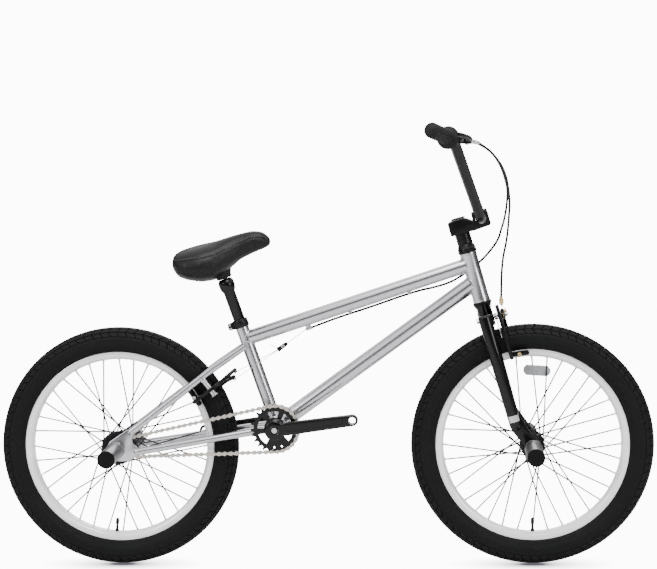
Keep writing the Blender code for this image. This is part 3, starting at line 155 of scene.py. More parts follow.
def turned(builder, profile, centre, axis, steps=32, closed=False, start=None,
           angle=2 * math.pi):
    """Spin a profile of (radius, height) points about an axis through a centre."""
    axis = Vector(axis).normalized()
    centre = Vector(centre)
    first, _ = square_to(axis, start)
    verts = [builder.verts.new(centre + first * r + axis * h) for r, h in profile]
    count = len(verts)
    last = count if closed else count - 1
    edges = [builder.edges.new((verts[k], verts[(k + 1) % count])) for k in range(last)]
    full = angle > 2 * math.pi - 0.001
    bmesh.ops.spin(builder, geom=verts + edges, cent=centre, axis=axis, angle=angle,
                   steps=steps, use_merge=full)


def pin(builder, start, end, radius, chamfer=0.0006, steps=20):
    """A round bar with softened ends."""
    start, end = Vector(start), Vector(end)
    long = (end - start).length
    soft = min(chamfer, radius * 0.5, long * 0.4)
    turned(builder, [(0, 0), (radius - soft, 0), (radius, soft), (radius, long - soft),
                     (radius - soft, long), (0, long)], start, end - start, steps)


def socket_bolt(builder, seat_at, axis, radius, height, steps=18):
    """A bolt head with its key socket."""
    key = radius * 0.52
    turned(builder, [(0, 0), (radius, 0), (radius, height * 0.8), (radius * 0.86, height),
                     (key, height), (key * 0.92, height * 0.4), (0, height * 0.35)],
           seat_at, axis, steps)


def hex_nut(builder, seat_at, axis, radius, height, bore):
    turned(builder, [(bore, 0), (radius * 0.96, 0), (radius, height * 0.15),
                     (radius, height * 0.85), (radius * 0.9, height), (bore, height)],
           seat_at, axis, 6, closed=True)


def tube(builder, start, end, radius, end_radius=None, sides=36, capped=True):
    """A straight tube or taper between two points."""
    start, end = Vector(start), Vector(end)
    run = end - start
    place = Matrix.Translation((start + end) / 2) @ run.to_track_quat("Z", "Y").to_matrix().to_4x4()
    made = bmesh.ops.create_cone(builder, cap_ends=capped, segments=sides, radius1=radius,
                                 radius2=radius if end_radius is None else end_radius,
                                 depth=run.length, matrix=place)
    return made["verts"]


def slab(builder, outline, middle, x_dir, y_dir, thick, soft=0.0, segments=2):
    """A flat outline made thick evenly either side of its plane, its edges softened."""
    x_dir, y_dir = x_dir.normalized(), y_dir.normalized()
    normal = x_dir.cross(y_dir)
    foot = Vector(middle) - normal * (thick / 2)
    base = [builder.verts.new(foot + x_dir * x + y_dir * y) for x, y in outline]
    face = builder.faces.new(base)
    raised = bmesh.ops.extrude_face_region(builder, geom=[face])
    top = [item for item in raised["geom"] if isinstance(item, bmesh.types.BMVert)]
    lids = [item for item in raised["geom"] if isinstance(item, bmesh.types.BMFace)]
    bmesh.ops.translate(builder, verts=top, vec=normal * thick)
    if soft:
        edges = list({edge for lid in (*lids, face) for edge in lid.edges})
        bmesh.ops.bevel(builder, geom=edges, offset=soft, offset_type="OFFSET", affect="EDGES",
                        segments=segments, profile=0.5, material=-1, clamp_overlap=True)


def curved_outline(corners, count=48):
    """A closed outline run smoothly through its corners."""
    corners = [Vector(c) for c in corners]
    n = len(corners)
    per = max(2, count // n)
    points = []
    for k in range(n):
        a, b, c, d = (corners[(k + j - 1) % n] for j in range(4))
        for j in range(per):
            t = j / per
            p = 0.5 * ((2 * b) + (c - a) * t + (2 * a - 5 * b + 4 * c - d) * t * t
                       + (3 * b - a - 3 * c + d) * t ** 3)
            points.append((p.x, p.y))
    return points


def arc_outline(centre, radius, start, stop, steps):
    """Points of an arc in an outline."""
    turns = [start + (stop - start) * k / steps for k in range(steps + 1)]
    return [(centre[0] + radius * math.cos(t), centre[1] + radius * math.sin(t)) for t in turns]


def path_mesh(points, radius, resolution=4, closed=False, radii=None, bend=False):
    """A round cord along a path, as a mesh."""
    curve = bpy.data.curves.new("path", "CURVE")
    curve.dimensions = "3D"
    curve.bevel_depth = radius
    curve.bevel_resolution = resolution
    curve.use_fill_caps = not closed
    curve.resolution_u = 6
    spline = curve.splines.new("BEZIER" if bend else "POLY")
    spline.use_cyclic_u = closed
    knots = spline.bezier_points if bend else spline.points
    knots.add(len(points) - 1)
    for k, (knot, point) in enumerate(zip(knots, points)):
        knot.co = Vector(point) if bend else (*point, 1)
        if bend:
            knot.handle_left_type = knot.handle_right_type = "AUTO"
        if radii:
            knot.radius = radii[k]
    holder = bpy.data.objects.new("path", curve)
    bpy.context.scene.collection.objects.link(holder)
    bpy.context.view_layer.update()
    mesh = bpy.data.meshes.new_from_object(
        holder.evaluated_get(bpy.context.evaluated_depsgraph_get()))
    bpy.data.objects.remove(holder)
    bpy.data.curves.remove(curve)
    return mesh


def add_path(builder, points, radius, **how):
    mesh = path_mesh(points, radius, **how)
    builder.from_mesh(mesh)
    bpy.data.meshes.remove(mesh)


def rounded_path(corners, radius, steps=10):
    """A path through corners, each turned with an arc."""
    corners = [Vector(c) for c in corners]
    path = [corners[0]]
    for before, here, after in zip(corners, corners[1:], corners[2:]):
        to_before = (before - here).normalized()
        to_after = (after - here).normalized()
        half = to_before.angle(to_after) / 2
        reach = radius / math.tan(half)
        centre = here + (to_before + to_after).normalized() * (radius / math.sin(half))
        arm_a = here + to_before * reach - centre
        arm_b = here + to_after * reach - centre
        turn = arm_a.angle(arm_b)
        axis = arm_a.cross(arm_b).normalized()
        for k in range(steps + 1):
            path.append(centre + Matrix.Rotation(turn * k / steps, 3, axis) @ arm_a)
    path.append(corners[-1])
    return path


def weld_bead(builder, start, run, radius, axis_at, axis, other_radius, bead=0.0017):
    """The rippled bead where a round tube runs into another round tube."""
    run, axis = run.normalized(), axis.normalized()
    first, second = square_to(run)
    points, radii = [], []
    count = 72
    flat_run = run - axis * run.dot(axis)
    for k in range(count):
        turn = 2 * math.pi * k / count
        base = start + (first * math.cos(turn) + second * math.sin(turn)) * radius
        off = base - axis_at
        off = off - axis * off.dot(axis)
        a = flat_run.length_squared
        b = 2 * off.dot(flat_run)
        c = off.length_squared - other_radius ** 2
        reach = (-b + math.sqrt(max(b * b - 4 * a * c, 0))) / (2 * a)
        points.append(base + run * reach)
        radii.append(1.0 if k % 2 else 0.72)
    add_path(builder, points, bead, resolution=1, closed=True, radii=radii)


def finish_mesh(builder, name):
    bmesh.ops.remove_doubles(builder, verts=builder.verts, dist=0.000005)
    bmesh.ops.recalc_face_normals(builder, faces=builder.faces)
    mesh = bpy.data.meshes.new(name)
    builder.to_mesh(mesh)
    builder.free()
    return mesh


def placed(name, mesh, finish, body, nodes=(), sharp=38):
    """Show a mesh as a piece that rides on a body."""
    mesh.name = name
    mesh.shade_smooth()
    mesh.set_sharp_from_angle(angle=math.radians(sharp))
    mesh.materials.clear()
    mesh.materials.append(finish)
    obj = bpy.data.objects.new(name, mesh)
    bpy.context.scene.collection.objects.link(obj)
    if body:
        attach(obj, body)
    if nodes:
        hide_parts(*nodes)
    return obj


def piece(name, builder, finish, body, nodes=(), sharp=38):
    return placed(name, finish_mesh(builder, name), finish, body, nodes, sharp)


def stamp(builder, mesh, places):
    """Copy a small mesh into a builder at each of its places."""
    for place in places:
        copy = mesh.copy()
        copy.transform(place)
        builder.from_mesh(copy)
        bpy.data.meshes.remove(copy)


def carved(name, builder, cutters, finish, body, nodes=(), sharp=38):
    """A piece with holes cut through it."""
    solid = bpy.data.objects.new("solid", finish_mesh(builder, "solid"))
    tool = bpy.data.objects.new("tool", finish_mesh(cutters, "tool"))
    for obj in (solid, tool):
        bpy.context.scene.collection.objects.link(obj)
    cut = solid.modifiers.new("cut", "BOOLEAN")
    cut.operation = "DIFFERENCE"
    cut.solver = "EXACT"
    cut.use_self = True
    cut.object = tool
    bpy.context.view_layer.update()
    mesh = bpy.data.meshes.new_from_object(
        solid.evaluated_get(bpy.context.evaluated_depsgraph_get()))
    bpy.data.objects.remove(solid)
    bpy.data.objects.remove(tool)
    return placed(name, mesh, finish, body, nodes, sharp)


# ------------------------------------------------------------- materials

def new_group(name, inputs, outputs):
    """An empty node group with named sockets, and its ends."""
    group = bpy.data.node_groups.new(name, "ShaderNodeTree")
    for label, kind, default in inputs:
        socket = group.interface.new_socket(label, in_out="INPUT", socket_type=kind)
        socket.default_value = default
    for label, kind in outputs:
        group.interface.new_socket(label, in_out="OUTPUT", socket_type=kind)
    return group, group.nodes.new("NodeGroupInput"), group.nodes.new("NodeGroupOutput")


def node(tree, kind, **settings):
    made = tree.nodes.new(kind)
    for key, value in settings.items():
        setattr(made, key, value)
    return made


def maths(tree, operation, first, second=None):
    made = node(tree, "ShaderNodeMath", operation=operation)
    made.use_clamp = True
    for k, value in enumerate((first, second)):
        if value is None:
            continue
        if isinstance(value, (int, float)):
            made.inputs[k].default_value = value
        else:
            tree.links.new(value, made.inputs[k])
    return made.outputs[0]


def mottle_group():
    """Soft patches of tone, as a mask."""
    group, ends, out = new_group(
        "Mottle", [("Vector", "NodeSocketVector", (0, 0, 0)), ("Scale", "NodeSocketFloat", 20.0),
                   ("Contrast", "NodeSocketFloat", 0.5)], [("Mask", "NodeSocketFloat")])
    noise = node(group, "ShaderNodeTexNoise")
    noise.inputs["Detail"].default_value = 5
    group.links.new(ends.outputs["Vector"], noise.inputs["Vector"])
    group.links.new(ends.outputs["Scale"], noise.inputs["Scale"])
    shift = maths(group, "SUBTRACT", noise.outputs["Fac"], 0.3)
    spread = maths(group, "MULTIPLY", shift, 2.5)
    group.links.new(maths(group, "MULTIPLY", spread, ends.outputs["Contrast"]), out.inputs["Mask"])
    return group


def grain_group():
    """The fine surface of a moulding, casting or drawn tube, as a height."""
    group, ends, out = new_group(
        "Grain", [("Vector", "NodeSocketVector", (0, 0, 0)), ("Scale", "NodeSocketFloat", 300.0),
                  ("Cells", "NodeSocketFloat", 0.0)], [("Height", "NodeSocketFloat")])
    noise = node(group, "ShaderNodeTexNoise")
    noise.inputs["Detail"].default_value = 6
    cells = node(group, "ShaderNodeTexVoronoi")
    for tool in (noise, cells):
        group.links.new(ends.outputs["Vector"], tool.inputs["Vector"])
        group.links.new(ends.outputs["Scale"], tool.inputs["Scale"])
    mix = node(group, "ShaderNodeMix", data_type="FLOAT")
    group.links.new(ends.outputs["Cells"], mix.inputs["Factor"])
    group.links.new(noise.outputs["Fac"], mix.inputs[2])
    group.links.new(cells.outputs["Distance"], mix.inputs[3])
    group.links.new(mix.outputs[0], out.inputs["Height"])
    return group


def wear_group():
    """Corners rubbed bright, broken up so that they don't look drawn on."""
    group, ends, out = new_group(
        "Edge Wear", [("Vector", "NodeSocketVector", (0, 0, 0)),
                      ("Amount", "NodeSocketFloat", 0.3)], [("Mask", "NodeSocketFloat")])
    shape = node(group, "ShaderNodeNewGeometry")
    noise = node(group, "ShaderNodeTexNoise")
    noise.inputs["Scale"].default_value = 90
    group.links.new(ends.outputs["Vector"], noise.inputs["Vector"])
    corner = maths(group, "MULTIPLY", maths(group, "SUBTRACT", shape.outputs["Pointiness"], 0.53), 12.0)
    broken = maths(group, "MULTIPLY", corner, noise.outputs["Fac"])
    group.links.new(maths(group, "MULTIPLY", broken, ends.outputs["Amount"]), out.inputs["Mask"])
    return group


def dust_group():
    """A little dust lying on what faces up."""
    group, ends, out = new_group(
        "Dust", [("Vector", "NodeSocketVector", (0, 0, 0)), ("Amount", "NodeSocketFloat", 0.1)],
        [("Mask", "NodeSocketFloat")])
    shape = node(group, "ShaderNodeNewGeometry")
    split = node(group, "ShaderNodeSeparateXYZ")
    noise = node(group, "ShaderNodeTexNoise")
    noise.inputs["Scale"].default_value = 35
    noise.inputs["Detail"].default_value = 8
    group.links.new(shape.outputs["Normal"], split.inputs[0])
    group.links.new(ends.outputs["Vector"], noise.inputs["Vector"])
    lying = maths(group, "MULTIPLY", split.outputs["Z"], noise.outputs["Fac"])
    group.links.new(maths(group, "MULTIPLY", lying, ends.outputs["Amount"]), out.inputs["Mask"])
    return group


def use_group(tree, name, vector, **values):
    made = node(tree, "ShaderNodeGroup", node_tree=bpy.data.node_groups[name])
    tree.links.new(vector, made.inputs["Vector"])
    for key, value in values.items():
        made.inputs[key].default_value = value
    return made.outputs[0]


def blend_colour(tree, mask, low, high):
    mix = node(tree, "ShaderNodeMix", data_type="RGBA")
    tree.links.new(mask, mix.inputs["Factor"])
    for socket, value in ((mix.inputs[6], low), (mix.inputs[7], high)):
        if isinstance(value, tuple):
            socket.default_value = (*value, 1)
        else:
            tree.links.new(value, socket)
    return mix.outputs[2]


def surface(name, colour, second, rough, metal=0.0, coat=0.0, coat_rough=0.08, patches=14.0,
            contrast=0.6, grain=400.0, cells=0.0, depth=0.15, height=0.0002, stretch=(1, 1, 1),
            turn=0.0, wear=0.0, worn=(0.5, 0.5, 0.5), dust=0.06, shine=0.5):
    """One finish: two tones in patches, a fine grain, rubbed corners and a little dust."""
    made = bpy.data.materials.get(name)
    if made:
        return made
    made = bpy.data.materials.new(name)
    made.use_nodes = True
    made.diffuse_color = (*colour, 1)
    tree = made.node_tree
    shader = tree.nodes["Principled BSDF"]
    shader.inputs["Metallic"].default_value = metal
    shader.inputs["Coat Weight"].default_value = coat
    shader.inputs["Coat Roughness"].default_value = coat_rough
    shader.inputs["Specular IOR Level"].default_value = shine
    place = node(tree, "ShaderNodeTexCoord").outputs["Object"]
    mapping = node(tree, "ShaderNodeMapping")
    mapping.inputs["Rotation"].default_value = (0, turn, 0)
    mapping.inputs["Scale"].default_value = stretch
    tree.links.new(place, mapping.inputs["Vector"])
    run = mapping.outputs["Vector"]
    patch = use_group(tree, "Mottle", run, Scale=patches, Contrast=contrast)
    base = blend_colour(tree, patch, colour, second)
    if wear:
        base = blend_colour(tree, use_group(tree, "Edge Wear", place, Amount=wear), base, worn)
    lying = use_group(tree, "Dust", place, Amount=dust)
    base = blend_colour(tree, lying, base, (0.30, 0.29, 0.27))
    tree.links.new(base, shader.inputs["Base Color"])
    spread = node(tree, "ShaderNodeMapRange")
    spread.inputs["To Min"].default_value = rough[0]
    spread.inputs["To Max"].default_value = rough[1]
    tree.links.new(patch, spread.inputs["Value"])
    tree.links.new(maths(tree, "ADD", spread.outputs["Result"], lying), shader.inputs["Roughness"])
    bump = node(tree, "ShaderNodeBump")
    bump.inputs["Strength"].default_value = depth
    bump.inputs["Distance"].default_value = height
    tree.links.new(use_group(tree, "Grain", run, Scale=grain, Cells=cells), bump.inputs["Height"])
    tree.links.new(bump.outputs["Normal"], shader.inputs["Normal"])
    return made


def frame_steel(run=None):
    """Bare steel under clear lacquer, drawn along the tube."""
    colours = bpy.context.scene.bike_finish
    angle = 0.0 if run is None else math.atan2(run.z, run.x)
    name = "lacquered steel" + ("" if run is None else " %d" % round(math.degrees(angle)))
    base = tuple(colours.frame_colour)
    second = tuple(channel * 0.84 for channel in base)
    return surface(name, base, second, (0.20, 0.30), metal=1.0, coat=0.6, patches=3.0,
                   contrast=0.7, grain=220.0, depth=0.10, stretch=(0.12, 1, 1), turn=angle,
                   dust=0.02)


def black_gloss():
    base = tuple(bpy.context.scene.bike_finish.paint_colour)
    return surface("gloss black paint", base, (0.003, 0.003, 0.0035), (0.22, 0.32), coat=0.30,
                   coat_rough=0.05,
                   patches=30.0, grain=260.0, depth=0.08, wear=0.12, worn=(0.04, 0.04, 0.04),
                   dust=0.004, shine=0.12)


def black_alloy():
    return surface("black anodised alloy", (0.003, 0.003, 0.0035), (0.007, 0.007, 0.008),
                   (0.28, 0.40), metal=0.1, coat=0.05, coat_rough=0.2, patches=40.0, grain=900.0,
                   depth=0.2, wear=0.25, worn=(0.06, 0.06, 0.065), dust=0.004, shine=0.16)


def bright_steel():
    return surface("plated steel", (0.66, 0.66, 0.67), (0.50, 0.50, 0.52), (0.18, 0.34),
                   metal=1.0, patches=60.0, grain=500.0, depth=0.12, wear=0.3,
                   worn=(0.85, 0.85, 0.85), dust=0.03)


def dark_steel():
    return surface("dark spoke steel", (0.035, 0.035, 0.037), (0.055, 0.055, 0.058),
                   (0.30, 0.42), metal=0.9, patches=50.0, grain=700.0, depth=0.1, dust=0.0)


def brass():
    return surface("brass", (0.72, 0.56, 0.28), (0.60, 0.46, 0.22), (0.25, 0.4), metal=1.0,
                   patches=70.0, grain=500.0, depth=0.1, dust=0.02)


def chain_steel():
    return surface("nickel plated chain", (0.60, 0.55, 0.50), (0.44, 0.40, 0.36), (0.28, 0.42),
                   metal=0.9, patches=90.0, grain=700.0, depth=0.15, wear=0.4,
                   worn=(0.8, 0.77, 0.72), dust=0.05)


def polished_rim():
    base = tuple(bpy.context.scene.bike_finish.rim_colour)
    return surface("polished rim alloy", base, (0.90, 0.90, 0.92), (0.20, 0.30), metal=0.25,
                   patches=16.0, contrast=0.5, grain=500.0, depth=0.08, dust=0.02)


def peg_steel():
    return surface("turned peg steel", (0.24, 0.24, 0.25), (0.11, 0.11, 0.115), (0.30, 0.46),
                   metal=0.9, patches=26.0, contrast=0.9, grain=140.0, depth=0.25,
                   stretch=(1, 0.06, 1), dust=0.02)


def tyre_rubber():
    base = tuple(bpy.context.scene.bike_finish.tyre_colour)
    return surface("tyre rubber", base, (0.006, 0.006, 0.0065), (0.60, 0.78), patches=22.0,
                   grain=700.0, depth=0.35, wear=0.15, worn=(0.012, 0.012, 0.012), dust=0.004,
                   shine=0.13)


def grip_rubber():
    return surface("grip rubber", (0.009, 0.009, 0.0095), (0.015, 0.015, 0.016), (0.60, 0.78),
                   patches=60.0, grain=1100.0, cells=0.5, depth=0.5, dust=0.006, shine=0.15)


def pad_rubber():
    return surface("brake pad rubber", (0.007, 0.007, 0.007), (0.012, 0.012, 0.012),
                   (0.70, 0.85), patches=60.0, grain=900.0, depth=0.4, dust=0.01, shine=0.15)


def cable_sheath():
    return surface("cable sheath", (0.006, 0.006, 0.006), (0.010, 0.010, 0.011), (0.36, 0.5),
                   patches=40.0, grain=900.0, depth=0.2, dust=0.005, shine=0.15)


def saddle_vinyl():
    base = tuple(bpy.context.scene.bike_finish.saddle_colour)
    return surface("saddle vinyl", base, (0.008, 0.008, 0.009), (0.42, 0.56), coat=0.04,
                   coat_rough=0.35, patches=18.0, grain=1500.0, cells=0.8, depth=0.35,
                   height=0.0002, dust=0.004, shine=0.18)


def moulded_black():
    return surface("moulded black plastic", (0.006, 0.006, 0.006), (0.010, 0.010, 0.010),
                   (0.48, 0.62), patches=30.0, grain=1300.0, cells=0.6, depth=0.5, dust=0.008,
                   shine=0.18)


def flat_black():
    return surface("flat black end", (0.004, 0.004, 0.004), (0.007, 0.007, 0.007),
                   (0.75, 0.9), patches=40.0, grain=900.0, depth=0.2, dust=0.0, shine=0.1)


def thread_seam():
    return surface("stitching thread", (0.018, 0.018, 0.019), (0.03, 0.03, 0.031), (0.7, 0.85),
                   patches=200.0, grain=3000.0, depth=0.6)


def lens_plastic():
    return surface("reflector lens", (0.30, 0.31, 0.32), (0.16, 0.17, 0.18), (0.08, 0.2),
                   coat=0.8, patches=60.0, grain=450.0, cells=1.0, depth=0.8, height=0.0008,
                   dust=0.02)


# ------------------------------------------------------------------ sizes

class BikeFinish(bpy.types.PropertyGroup):
    """The colours a user would change."""
    frame_colour: FloatVectorProperty(
        name="Frame steel", description="Colour of the bare steel frame", subtype="COLOR",
        size=3, min=0, max=1, default=(0.58, 0.58, 0.61))
    paint_colour: FloatVectorProperty(
        name="Paint", description="Colour of the fork, bar, post and cranks", subtype="COLOR",
        size=3, min=0, max=1, default=(0.002, 0.002, 0.002))
    rim_colour: FloatVectorProperty(
        name="Rims", description="Colour of the polished rims", subtype="COLOR",
        size=3, min=0, max=1, default=(0.96, 0.96, 0.97))
    tyre_colour: FloatVectorProperty(
        name="Tyres", description="Colour of the tyre rubber", subtype="COLOR",
        size=3, min=0, max=1, default=(0.0035, 0.0035, 0.0038))
    saddle_colour: FloatVectorProperty(
        name="Saddle", description="Colour of the saddle cover", subtype="COLOR",
        size=3, min=0, max=1, default=(0.004, 0.004, 0.0045))


class BikeSizes(bpy.types.PropertyGroup):
    """The sizes a user would change."""
    tread_depth: FloatProperty(
        name="Tread depth", description="Height of the tyre's tread blocks", default=0.0022,
        min=0.0005, max=0.004, unit="LENGTH")
    tread_rows: IntProperty(
        name="Tread rows", description="Tread blocks round the tyre", default=84, min=40, max=140)
    bead_radius: FloatProperty(
        name="Weld bead", description="Radius of the weld beads on the frame", default=0.0016,
        min=0.0005, max=0.003, unit="LENGTH")
    grip_ribs: IntProperty(
        name="Grip ribs", description="Ribs along each grip", default=26, min=4, max=40)
    seam_radius: FloatProperty(
        name="Seam piping", description="Radius of the saddle's seam piping", default=0.0009,
        min=0.0003, max=0.002, unit="LENGTH")


# ------------------------------------------------------------------ frame

def top_tube_line():
    """The top tube's axis at the seat tube, its direction, and the way up from it."""
    start = seat(0.2025)
    run = (head(0, 0, 0.0298) - start).normalized()
    return start, run, run.cross(SIDE)


def frame_tubes():
    bead = bpy.context.scene.bike_sizes.bead_radius
    builder = bmesh.new()
    end, lip, outer, bore = 0.0545, 0.0185, 0.018, 0.0155
    turned(builder, [(bore, -end), (lip, -end), (lip, 0.006 - end), (outer, 0.009 - end),
                     (outer, end - 0.009), (lip, end - 0.006), (lip, end), (bore, end)],
           HEAD_MIDDLE, UP, 48, closed=True)
    piece("head_tube_shell", builder, frame_steel(UP), "frame", ["head_tube"])

    start, run, above = top_tube_line()
    top_head = head(0, 0, 0.0298)
    down_head = head(0, 0, -0.0094)
    down_run = (down_head - BB).normalized()
    builder = bmesh.new()
    tube(builder, start + run * 0.008, top_head - run * 0.012, TOP_TUBE_R, sides=48)
    foot = start + run * STOP_AT - above * (TOP_TUBE_R + 0.0060)
    slab(builder, [(-0.007, 0.0075), (0.007, 0.0075), (0.005, 0.0030), (-0.005, 0.0030)],
         foot, run, above, 0.005, 0.0008)
    turned(builder, [(0.0022, -0.007), (0.0040, -0.007), (0.0040, 0.002), (0.0036, 0.007),
                     (0.0022, 0.007)], foot - above * 0.0003, run, 20, closed=True)
    piece("top_tube_shell", builder, frame_steel(run), "frame", ["top_tube"])

    builder = bmesh.new()
    tube(builder, BB + down_run * 0.014, down_head - down_run * 0.012, DOWN_TUBE_R, sides=48)
    piece("down_tube_shell", builder, frame_steel(down_run), "frame", ["down_tube"])

    builder = bmesh.new()
    tube(builder, seat(0.012), seat(0.2465), SEAT_TUBE_R, sides=40)
    piece("seat_tube_shell", builder, frame_steel(SEAT_UP), "frame", ["seat_tube"])

    builder = bmesh.new()
    half, wall = 0.034, 0.0195
    turned(builder, [(0.0100, -half), (wall, -half), (0.0215, 0.0020 - half),
                     (0.0215, half - 0.0020), (wall, half), (0.0100, half),
                     (0.0100, half - 0.002), (0.0170, half - 0.003), (0.0170, 0.003 - half),
                     (0.0100, 0.002 - half)], BB, SIDE, 48, closed=True)
    piece("bottom_bracket_shell", builder, frame_steel(), "frame", ["bb_shell"])

    builder = bmesh.new()
    weld_bead(builder, start, run, TOP_TUBE_R, BB, SEAT_UP, SEAT_TUBE_R + 0.0003, bead)
    weld_bead(builder, top_head, -run, TOP_TUBE_R, HEAD_MIDDLE, UP, 0.0183, bead)
    weld_bead(builder, down_head, -down_run, DOWN_TUBE_R, HEAD_MIDDLE, UP, 0.0183, bead)
    weld_bead(builder, BB, down_run, DOWN_TUBE_R, BB, SIDE, 0.0217, bead)
    weld_bead(builder, BB, SEAT_UP, SEAT_TUBE_R, BB, SIDE, 0.0217, bead)
    piece("frame_welds", builder, frame_steel(), "frame", sharp=80)

    builder = bmesh.new()
    rear = SEAT_UP.cross(SIDE)
    turned(builder, [(0.0144, 0), (0.0166, 0), (0.0173, 0.0010), (0.0173, 0.0165),
                     (0.0166, 0.0178), (0.0144, 0.0178)], seat(0.229), SEAT_UP, 40, closed=True)
    for side in (-1, 1):
        slab(builder, [(0.0010, 0.0155), (0.0168, 0.0155), (0.0168, 0.0255), (0.0140, 0.0282),
                       (0.0040, 0.0282), (0.0010, 0.0255)], seat(0.229, side * 0.0045), SEAT_UP,
             rear, 0.0068, 0.0012)
    piece("seat_collar", builder, black_alloy(), "frame", ["seat_clamp"])
    builder = bmesh.new()
    for up in (0.2335, 0.2425):
        at = seat(up) + rear * 0.0228
        socket_bolt(builder, at - SIDE * 0.0079, -SIDE, 0.0033, 0.0034)
        socket_bolt(builder, at + SIDE * 0.0079, SIDE, 0.0033, 0.0028)
        pin(builder, at - SIDE * 0.0078, at + SIDE * 0.0078, 0.0022, 0.0003)
    piece("seat_collar_bolts", builder, bright_steel(), "frame")


def stays():
    bead = bpy.context.scene.bike_sizes.bead_radius
    for sign in (-1, 1):
        name = side_name(sign)
        outward = SIDE * sign
        seat_end = REAR_AXLE + Vector((0.034, 0.0595 * sign, 0.0398))
        bend = Vector((-0.232, 0.037 * sign, 0.4415))
        stay_top = seat(0.1905) + outward * 0.0190
        seat_run = (bend - seat_end).normalized()
        builder = bmesh.new()
        path = rounded_path([seat_end, bend, stay_top], 0.06, 6)
        path[-1] = path[-1] - (path[-1] - path[-2]).normalized() * 0.006
        add_path(builder, path, 0.0081, resolution=6)
        cap = [(0, -0.002), (0.0080, -0.002), (0.0080, 0), (0.0076, 0.003), (0.0058, 0.0058),
               (0.003, 0.0075), (0, 0.008)]
        turned(builder, cap, seat_end + seat_run * 0.0005, -seat_run, 28)
        pivot = mirrored(UBRAKE_PIVOT, sign)
        turned(builder, [(0, -0.024), (0.0068, -0.024), (0.0072, -0.020), (0.0060, -0.016),
                         (0.0060, 0.0205), (0, 0.0205)], pivot, STAY_AWAY, 24)
        piece("seat_stay_" + name, builder, frame_steel(STAY_RUN), "frame",
              ["seatstay_" + name])

        chain_end = REAR_AXLE + Vector((0.046, 0.0595 * sign, -0.0040))
        chain_start = BB + outward * 0.0305
        chain_run = (chain_start - chain_end).normalized()
        builder = bmesh.new()
        tube(builder, chain_end, chain_start - chain_run * 0.018, 0.0080, 0.0086, 32)
        turned(builder, cap, chain_end + chain_run * 0.0005, -chain_run, 28)
        piece("chain_stay_" + name, builder, frame_steel(chain_run), "frame",
              ["chainstay_" + name])

        builder = bmesh.new()
        outline = [(0.0250, 0.0440), (0.0020, 0.0290), (-0.0120, 0.0190), (-0.0200, 0.0090),
                   (-0.0225, -0.0020), (-0.0205, -0.0120), (-0.0140, -0.0195),
                   (-0.0040, -0.0235), (0.0120, -0.0250), (0.0300, -0.0240), (0.0420, -0.0140),
                   (0.0500, -0.0110), (0.0520, 0.0020), (0.0440, 0.0080), (0.0370, 0.0150),
                   (0.0350, 0.0250), (0.0400, 0.0370), (0.0360, 0.0460)]
        middle = REAR_AXLE + outward * 0.0580
        slab(builder, outline, middle, Vector((1, 0, 0)), Vector((0, 0, 1)), 0.0058, 0.0012, 3)
        cutters = bmesh.new()
        tube(cutters, middle - outward * 0.02, middle + outward * 0.02, 0.0073, sides=32)
        carved("rear_dropout_plate_" + name, builder, cutters, frame_steel(), "frame",
               ["rear_dropout_" + name])

        builder = bmesh.new()
        first, second = square_to(seat_run)
        ring = [seat_end + seat_run * 0.004 + (first * math.cos(t) + second * math.sin(t)) * 0.0078
                for t in (2 * math.pi * k / 40 for k in range(40))]
        add_path(builder, ring, bead * 0.8, resolution=1, closed=True,
                 radii=[1.0 if k % 2 else 0.7 for k in range(40)])
        weld_bead(builder, chain_start, -chain_run, 0.0085, BB, SIDE, 0.0217, bead * 0.9)
        piece("stay_welds_" + name, builder, frame_steel(), "frame", sharp=80)


def headset():
    for name, sign in (("upper", 1), ("lower", -1)):
        foot = head(0, 0, sign * 0.0548)
        builder = bmesh.new()
        turned(builder, [(0.0147, 0), (0.0190, 0), (0.0203, 0.0012), (0.0205, 0.0034),
                         (0.0198, 0.0039), (0.0198, 0.0044), (0.0205, 0.0049),
                         (0.0200, 0.0064), (0.0172, 0.0070), (0.0147, 0.0070)],
               foot, UP * sign, 48, closed=True)
        piece("headset_bearing_cup_" + name, builder, black_alloy(), "frame",
              ["headset_cup_" + name])
    builder = bmesh.new()
    low, high, count = 0.0622, 0.0980, 3
    step = (high - low) / count
    for k in range(count):
        foot, top = low + step * k + 0.0002, low + step * (k + 1) - 0.0002
        flare = 0.0034 if k == 0 else 0.0
        turned(builder, [(0.0147, foot), (0.0160 + flare, foot), (0.0167 + flare, foot + 0.0008),
                         (0.0167, top - 0.0008), (0.0160, top), (0.0147, top)],
               HEAD_MIDDLE, UP, 44, closed=True)
    piece("headset_spacer_stack", builder, black_alloy(), "steering",
          ["headset_spacers"])


# ------------------------------------------------------------------- seat

def seat_post():
    builder = bmesh.new()
    low, top, radius = 0.150, 0.345, 0.0127
    turned(builder, [(0, low), (radius - 0.001, low), (radius, low + 0.001), (radius, top - 0.034),
                     (0.0160, top - 0.028), (0.0175, top - 0.020), (0.0175, top - 0.012),
                     (0.0150, top - 0.006), (radius, top - 0.004), (0, top - 0.004)],
           BB, SEAT_UP, 40)
    piece("seat_post_tube", builder, black_gloss(), "seat", ["seat_post"])


SADDLE_REAR_X = -0.3235
SADDLE_LENGTH = 0.212
SADDLE_MIDDLE = 0.42            # share of its height at which the saddle is widest
# share of the length, half width, top height, bottom height
SADDLE_SECTIONS = [
    (0.000, 0.040, 0.682, 0.652), (0.060, 0.062, 0.692, 0.634), (0.160, 0.074, 0.6985, 0.6265),
    (0.300, 0.076, 0.7045, 0.6225), (0.440, 0.066, 0.7105, 0.6275),
    (0.560, 0.048, 0.7180, 0.6500), (0.680, 0.034, 0.7255, 0.6740),
    (0.820, 0.027, 0.7345, 0.6865), (0.920, 0.022, 0.7320, 0.6930),
    (1.000, 0.011, 0.7180, 0.7000),
]


